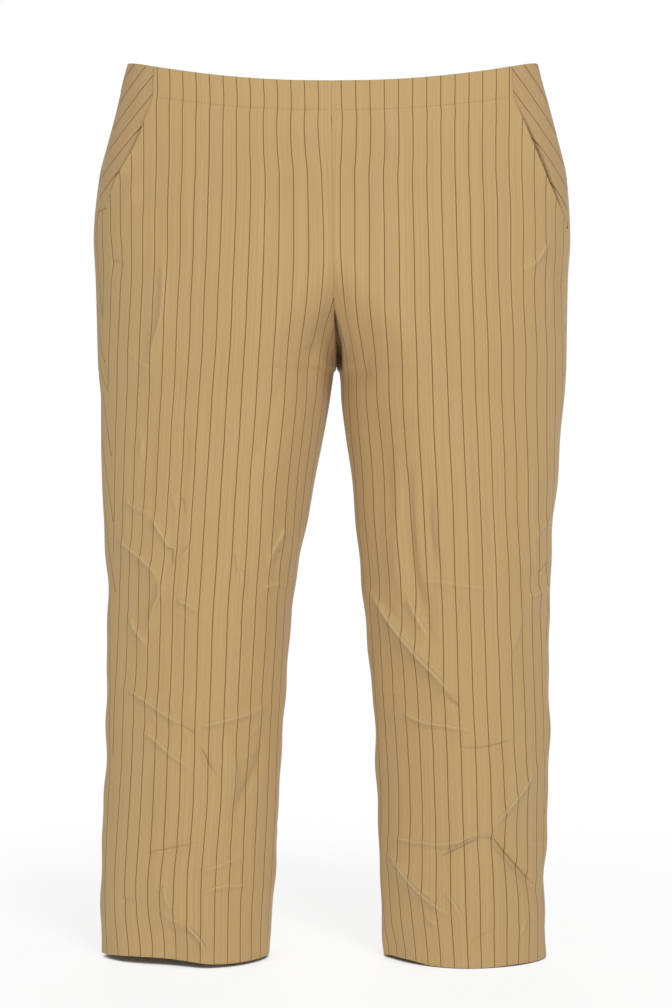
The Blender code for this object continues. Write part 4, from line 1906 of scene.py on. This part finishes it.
@dataclass
class HipFacing:
    """The side piece that shows in the slanted pocket opening, cut on the bias."""

    name: str
    node: str
    form: TrouserForm
    cut: Cut
    fit: FacingFit
    flatness: float = 0.75
    under: float = 27.0
    row_step: float = 2.6
    cloth: float = 0.45
    casing_depth: float = 1.0
    seam_depth: float = 0.5
    allowance: float = 9.0
    least_shown: float = 1.5
    sink: float = 1.5
    sink_over: float = 14.0
    shown_columns: int = 32
    hidden_columns: int = 10

    def rows(self) -> tuple[Array, Array]:
        """Rows from the casing's raw edge over the rim and down to the pocket's foot.

        Returns:
            Heights at the side seam, and depths of the layer.
        """
        foot = self.form.pocket_foot
        casing = EdgeTurn(self.form.casing, self.casing_depth, self.cloth, 8).path()
        top = [(-t.along, t.depth) for t in casing]
        count = int((top[-1][0] - foot) / self.row_step)
        body = [(z, 0.0) for z in np.linspace(top[-1][0], foot, count)[1:]]
        rows = np.array(top + body)
        return rows[:, 0], rows[:, 1]

    def edges(self, row_z: Array) -> tuple[Array, Array, Array]:
        """Finds the facing's edges and the front's pocket edge, which lies over it.

        Args:
            row_z: Heights of the rows at the side seam.

        Returns:
            Angles of the outer edge, the pocket's edge and the inner edge in each row.
        """
        seam = self.form.side_seam(row_z)
        start = self.form.moved_round(seam, row_z, 0.5 * self.form.seam_gap)
        least = self.form.moved_round(start, row_z, self.least_shown)
        edge = np.maximum(self.form.pocket_edge(row_z), start)
        edge = np.maximum(edge, least)
        return start, edge, self.form.moved_round(edge, row_z, self.under)

    def on_cloth(self, points: Array, heights: Array, away: Array) -> Array:
        """Finds the points' place on the flat cloth.

        The facing is cut straight and bent round the hip, so most of its width counts as
        seen from in front. A stripe runs through the anchor on the pocket's edge.

        Args:
            points: The facing's points.
            heights: Their heights on the smooth form.
            away: How far outward they are from the pocket's edge.

        Returns:
            Places across and along the grain, in millimetres.
        """
        fit = self.fit
        reach = np.abs(points[..., 0])
        beside = np.abs(away).argmin(axis=1)[:, None]
        edge_reach = np.take_along_axis(reach, beside, 1)
        seen = fit.bevel * (reach - edge_reach)
        place = fit.bevel * edge_reach + self.flatness * seen + (1 - self.flatness) * away
        cos, sin = math.cos(math.radians(fit.bias)), math.sin(math.radians(fit.bias))
        start = fit.bevel * fit.anchor[0] * cos + fit.anchor[1] * sin
        across = start - place * cos - heights * sin
        return np.stack([across, -place * sin + heights * cos], axis=-1)

    def sheet(self) -> ClothSheet:
        """Works out the facing's points and their place on the flat cloth.

        Returns:
            The sheet.
        """
        row_z, row_depth = self.rows()
        start, edge, end = self.edges(row_z)
        theta, length = self.form.unrolled((start, end), row_z, 301)
        to_edge = interp_rows(edge, theta, length)
        turn = EdgeTurn(self.allowance, self.seam_depth, self.cloth).path()
        near = np.array([t.along for t in turn])
        shares = np.linspace(0, 1, self.shown_columns + 1)[1:]
        shown = near[-1] + np.outer(to_edge - near[-1], shares)
        shares = np.linspace(0, 1, self.hidden_columns + 1)[1:]
        hidden = to_edge[:, None] + np.outer(length[:, -1] - to_edge, shares)
        first = np.minimum(near, length[:, -1:])
        distance = np.concatenate([first, shown, hidden], axis=1)
        flat = np.zeros(self.shown_columns + self.hidden_columns)
        depth = np.concatenate([[t.depth for t in turn], flat])
        angles = interp_rows(distance, length, theta)
        heights = self.form.dipped(angles, row_z[:, None])
        away = to_edge[:, None] - distance
        # It goes under the front at its edge, and hangs open in the middle of the pocket.
        sunk = self.sink * (1.0 - smooth((away - 0.5) / self.sink_over))
        hump = self.form.along_pocket(row_z, 10.0)[:, None]
        wide = self.fit.gape_width * (0.3 + 0.7 * hump)
        hollow = 1.0 - smooth((away - wide) / self.fit.gape_edge)
        sunk = sunk + self.fit.gape * hump * hollow
        out = -0.5 * self.cloth - sunk - row_depth[:, None] - depth[None, :]
        points = self.form.placed(angles, heights, out)
        uv = self.on_cloth(points, heights, away)
        return ClothSheet(self.name, points, uv, self.cloth)

    def build(self, material: Material) -> None:
        """Makes the facing and puts it in place of its solid.

        Args:
            material: The cloth.
        """
        made = self.sheet().build(material)
        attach(made, "root")
        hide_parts(self.node)
        LOG.info("%s: %d faces", made.name, len(made.data.polygons))


@dataclass
class Studio:
    """The floor, the lights and the camera."""

    floor_z: float = -935.3
    camera_x: float = 3.15
    camera_distance: float = 2200.0
    camera_z: float = -461.0
    half_height: float = 529.2
    sensor: float = 36.0
    room: float = 0.2
    lit_at: tuple[float, float, float] = (0.0, 0.0, -0.5)

    def floor(self) -> None:
        """Makes the table top that the trousers stand on."""
        bpy.ops.object.select_all(action="DESELECT")
        bpy.ops.mesh.primitive_plane_add(size=16.0, location=(0, 0, self.floor_z * MM))
        made = bpy.context.active_object
        made.name = "light_table"
        made.data.materials.append(LightTable().build("opal_acrylic"))

    def light(self, box: SoftBox) -> None:
        """Adds a soft box, turned to the trousers.

        Args:
            box: The soft box.
        """
        lamp = bpy.data.lights.new(box.name, "AREA")
        lamp.shape = "SQUARE"
        lamp.size = box.side
        lamp.energy = box.power
        made = bpy.data.objects.new(box.name, lamp)
        bpy.context.scene.collection.objects.link(made)
        dx, dy, dz = (a - p for a, p in zip(self.lit_at, box.place))
        made.location = box.place
        tilt = math.atan2(math.hypot(dx, dy), -dz)
        made.rotation_euler = (tilt, 0.0, math.atan2(dy, dx) - math.pi / 2)

    def build(self) -> None:
        """Sets the world, the lights, the floor and the camera."""
        scene = bpy.context.scene
        scene.view_settings.view_transform = "Standard"
        scene.view_settings.look = "None"
        world = bpy.data.worlds.new("studio")
        scene.world = world
        world.use_nodes = True
        tree = world.node_tree
        sky = tree.nodes["Background"]
        sky.inputs["Color"].default_value = (1.0, 1.0, 1.0, 1.0)
        # The white wall behind is lit brighter than the room.
        path = add_node(tree, "ShaderNodeLightPath")
        seen = path.outputs["Is Camera Ray"]
        strength = math_node(tree, "MULTIPLY_ADD", seen, 1.0 - self.room, self.room)
        tree.links.new(strength, sky.inputs["Strength"])
        self.floor()
        for box in SOFT_BOXES:
            self.light(box)
        lens = bpy.data.cameras.new("camera")
        lens.sensor_width = self.sensor
        lens.lens = 0.5 * self.sensor * self.camera_distance / self.half_height
        lens.clip_end = 50.0
        camera = bpy.data.objects.new("camera", lens)
        scene.collection.objects.link(camera)
        camera.location = (
            self.camera_x * MM, -self.camera_distance * MM, self.camera_z * MM
        )
        camera.rotation_euler = (math.pi / 2, 0.0, 0.0)
        scene.camera = camera


class Trousers:
    """All the pieces of the trousers."""

    def build(self) -> None:
        """Cuts, shapes and dresses every piece."""
        cloth = PinstripeCloth().build("pinstriped_cloth")
        thread = SewingThread().build("sewing_thread")
        # The facings get a copy of the cloth a shade darker: painted shade, where they lie sunk
        # in the pocket's opening.
        painted_shade_cloth = PinstripeCloth("#B5976A", "#B89A6D", "#B19366").build("cloth_with_painted_shade")
        creases = CreaseField()
        right = TrouserForm(Side.RIGHT, -932.0, -158.0, creases)
        left = TrouserForm(Side.LEFT, -935.0, -176.0, creases)
        for form, tag in ((right, "right"), (left, "left")):
            Panel("front_panel_" + tag, "front_" + tag, Face.FRONT, form,
                  FLAT_SIZES["front_" + tag]).build(cloth, thread)
            Panel("back_panel_" + tag, "back_" + tag, Face.BACK, form,
                  FLAT_SIZES["back_" + tag], row_step=3.1, column_step=3.1,
                  ).build(cloth, thread)
            HipFacing("pocket_facing_" + tag, "hip_facing_" + tag, form,
                      FLAT_SIZES["facing_" + tag], FACING_FITS[form.side]).build(painted_shade_cloth)


def main() -> None:
    """Builds the trousers and the studio."""
    logging.basicConfig(level=logging.INFO, format="%(name)s: %(message)s")
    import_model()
    Trousers().build()
    Studio().build()
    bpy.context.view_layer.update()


if __name__ == "__main__":
    main()
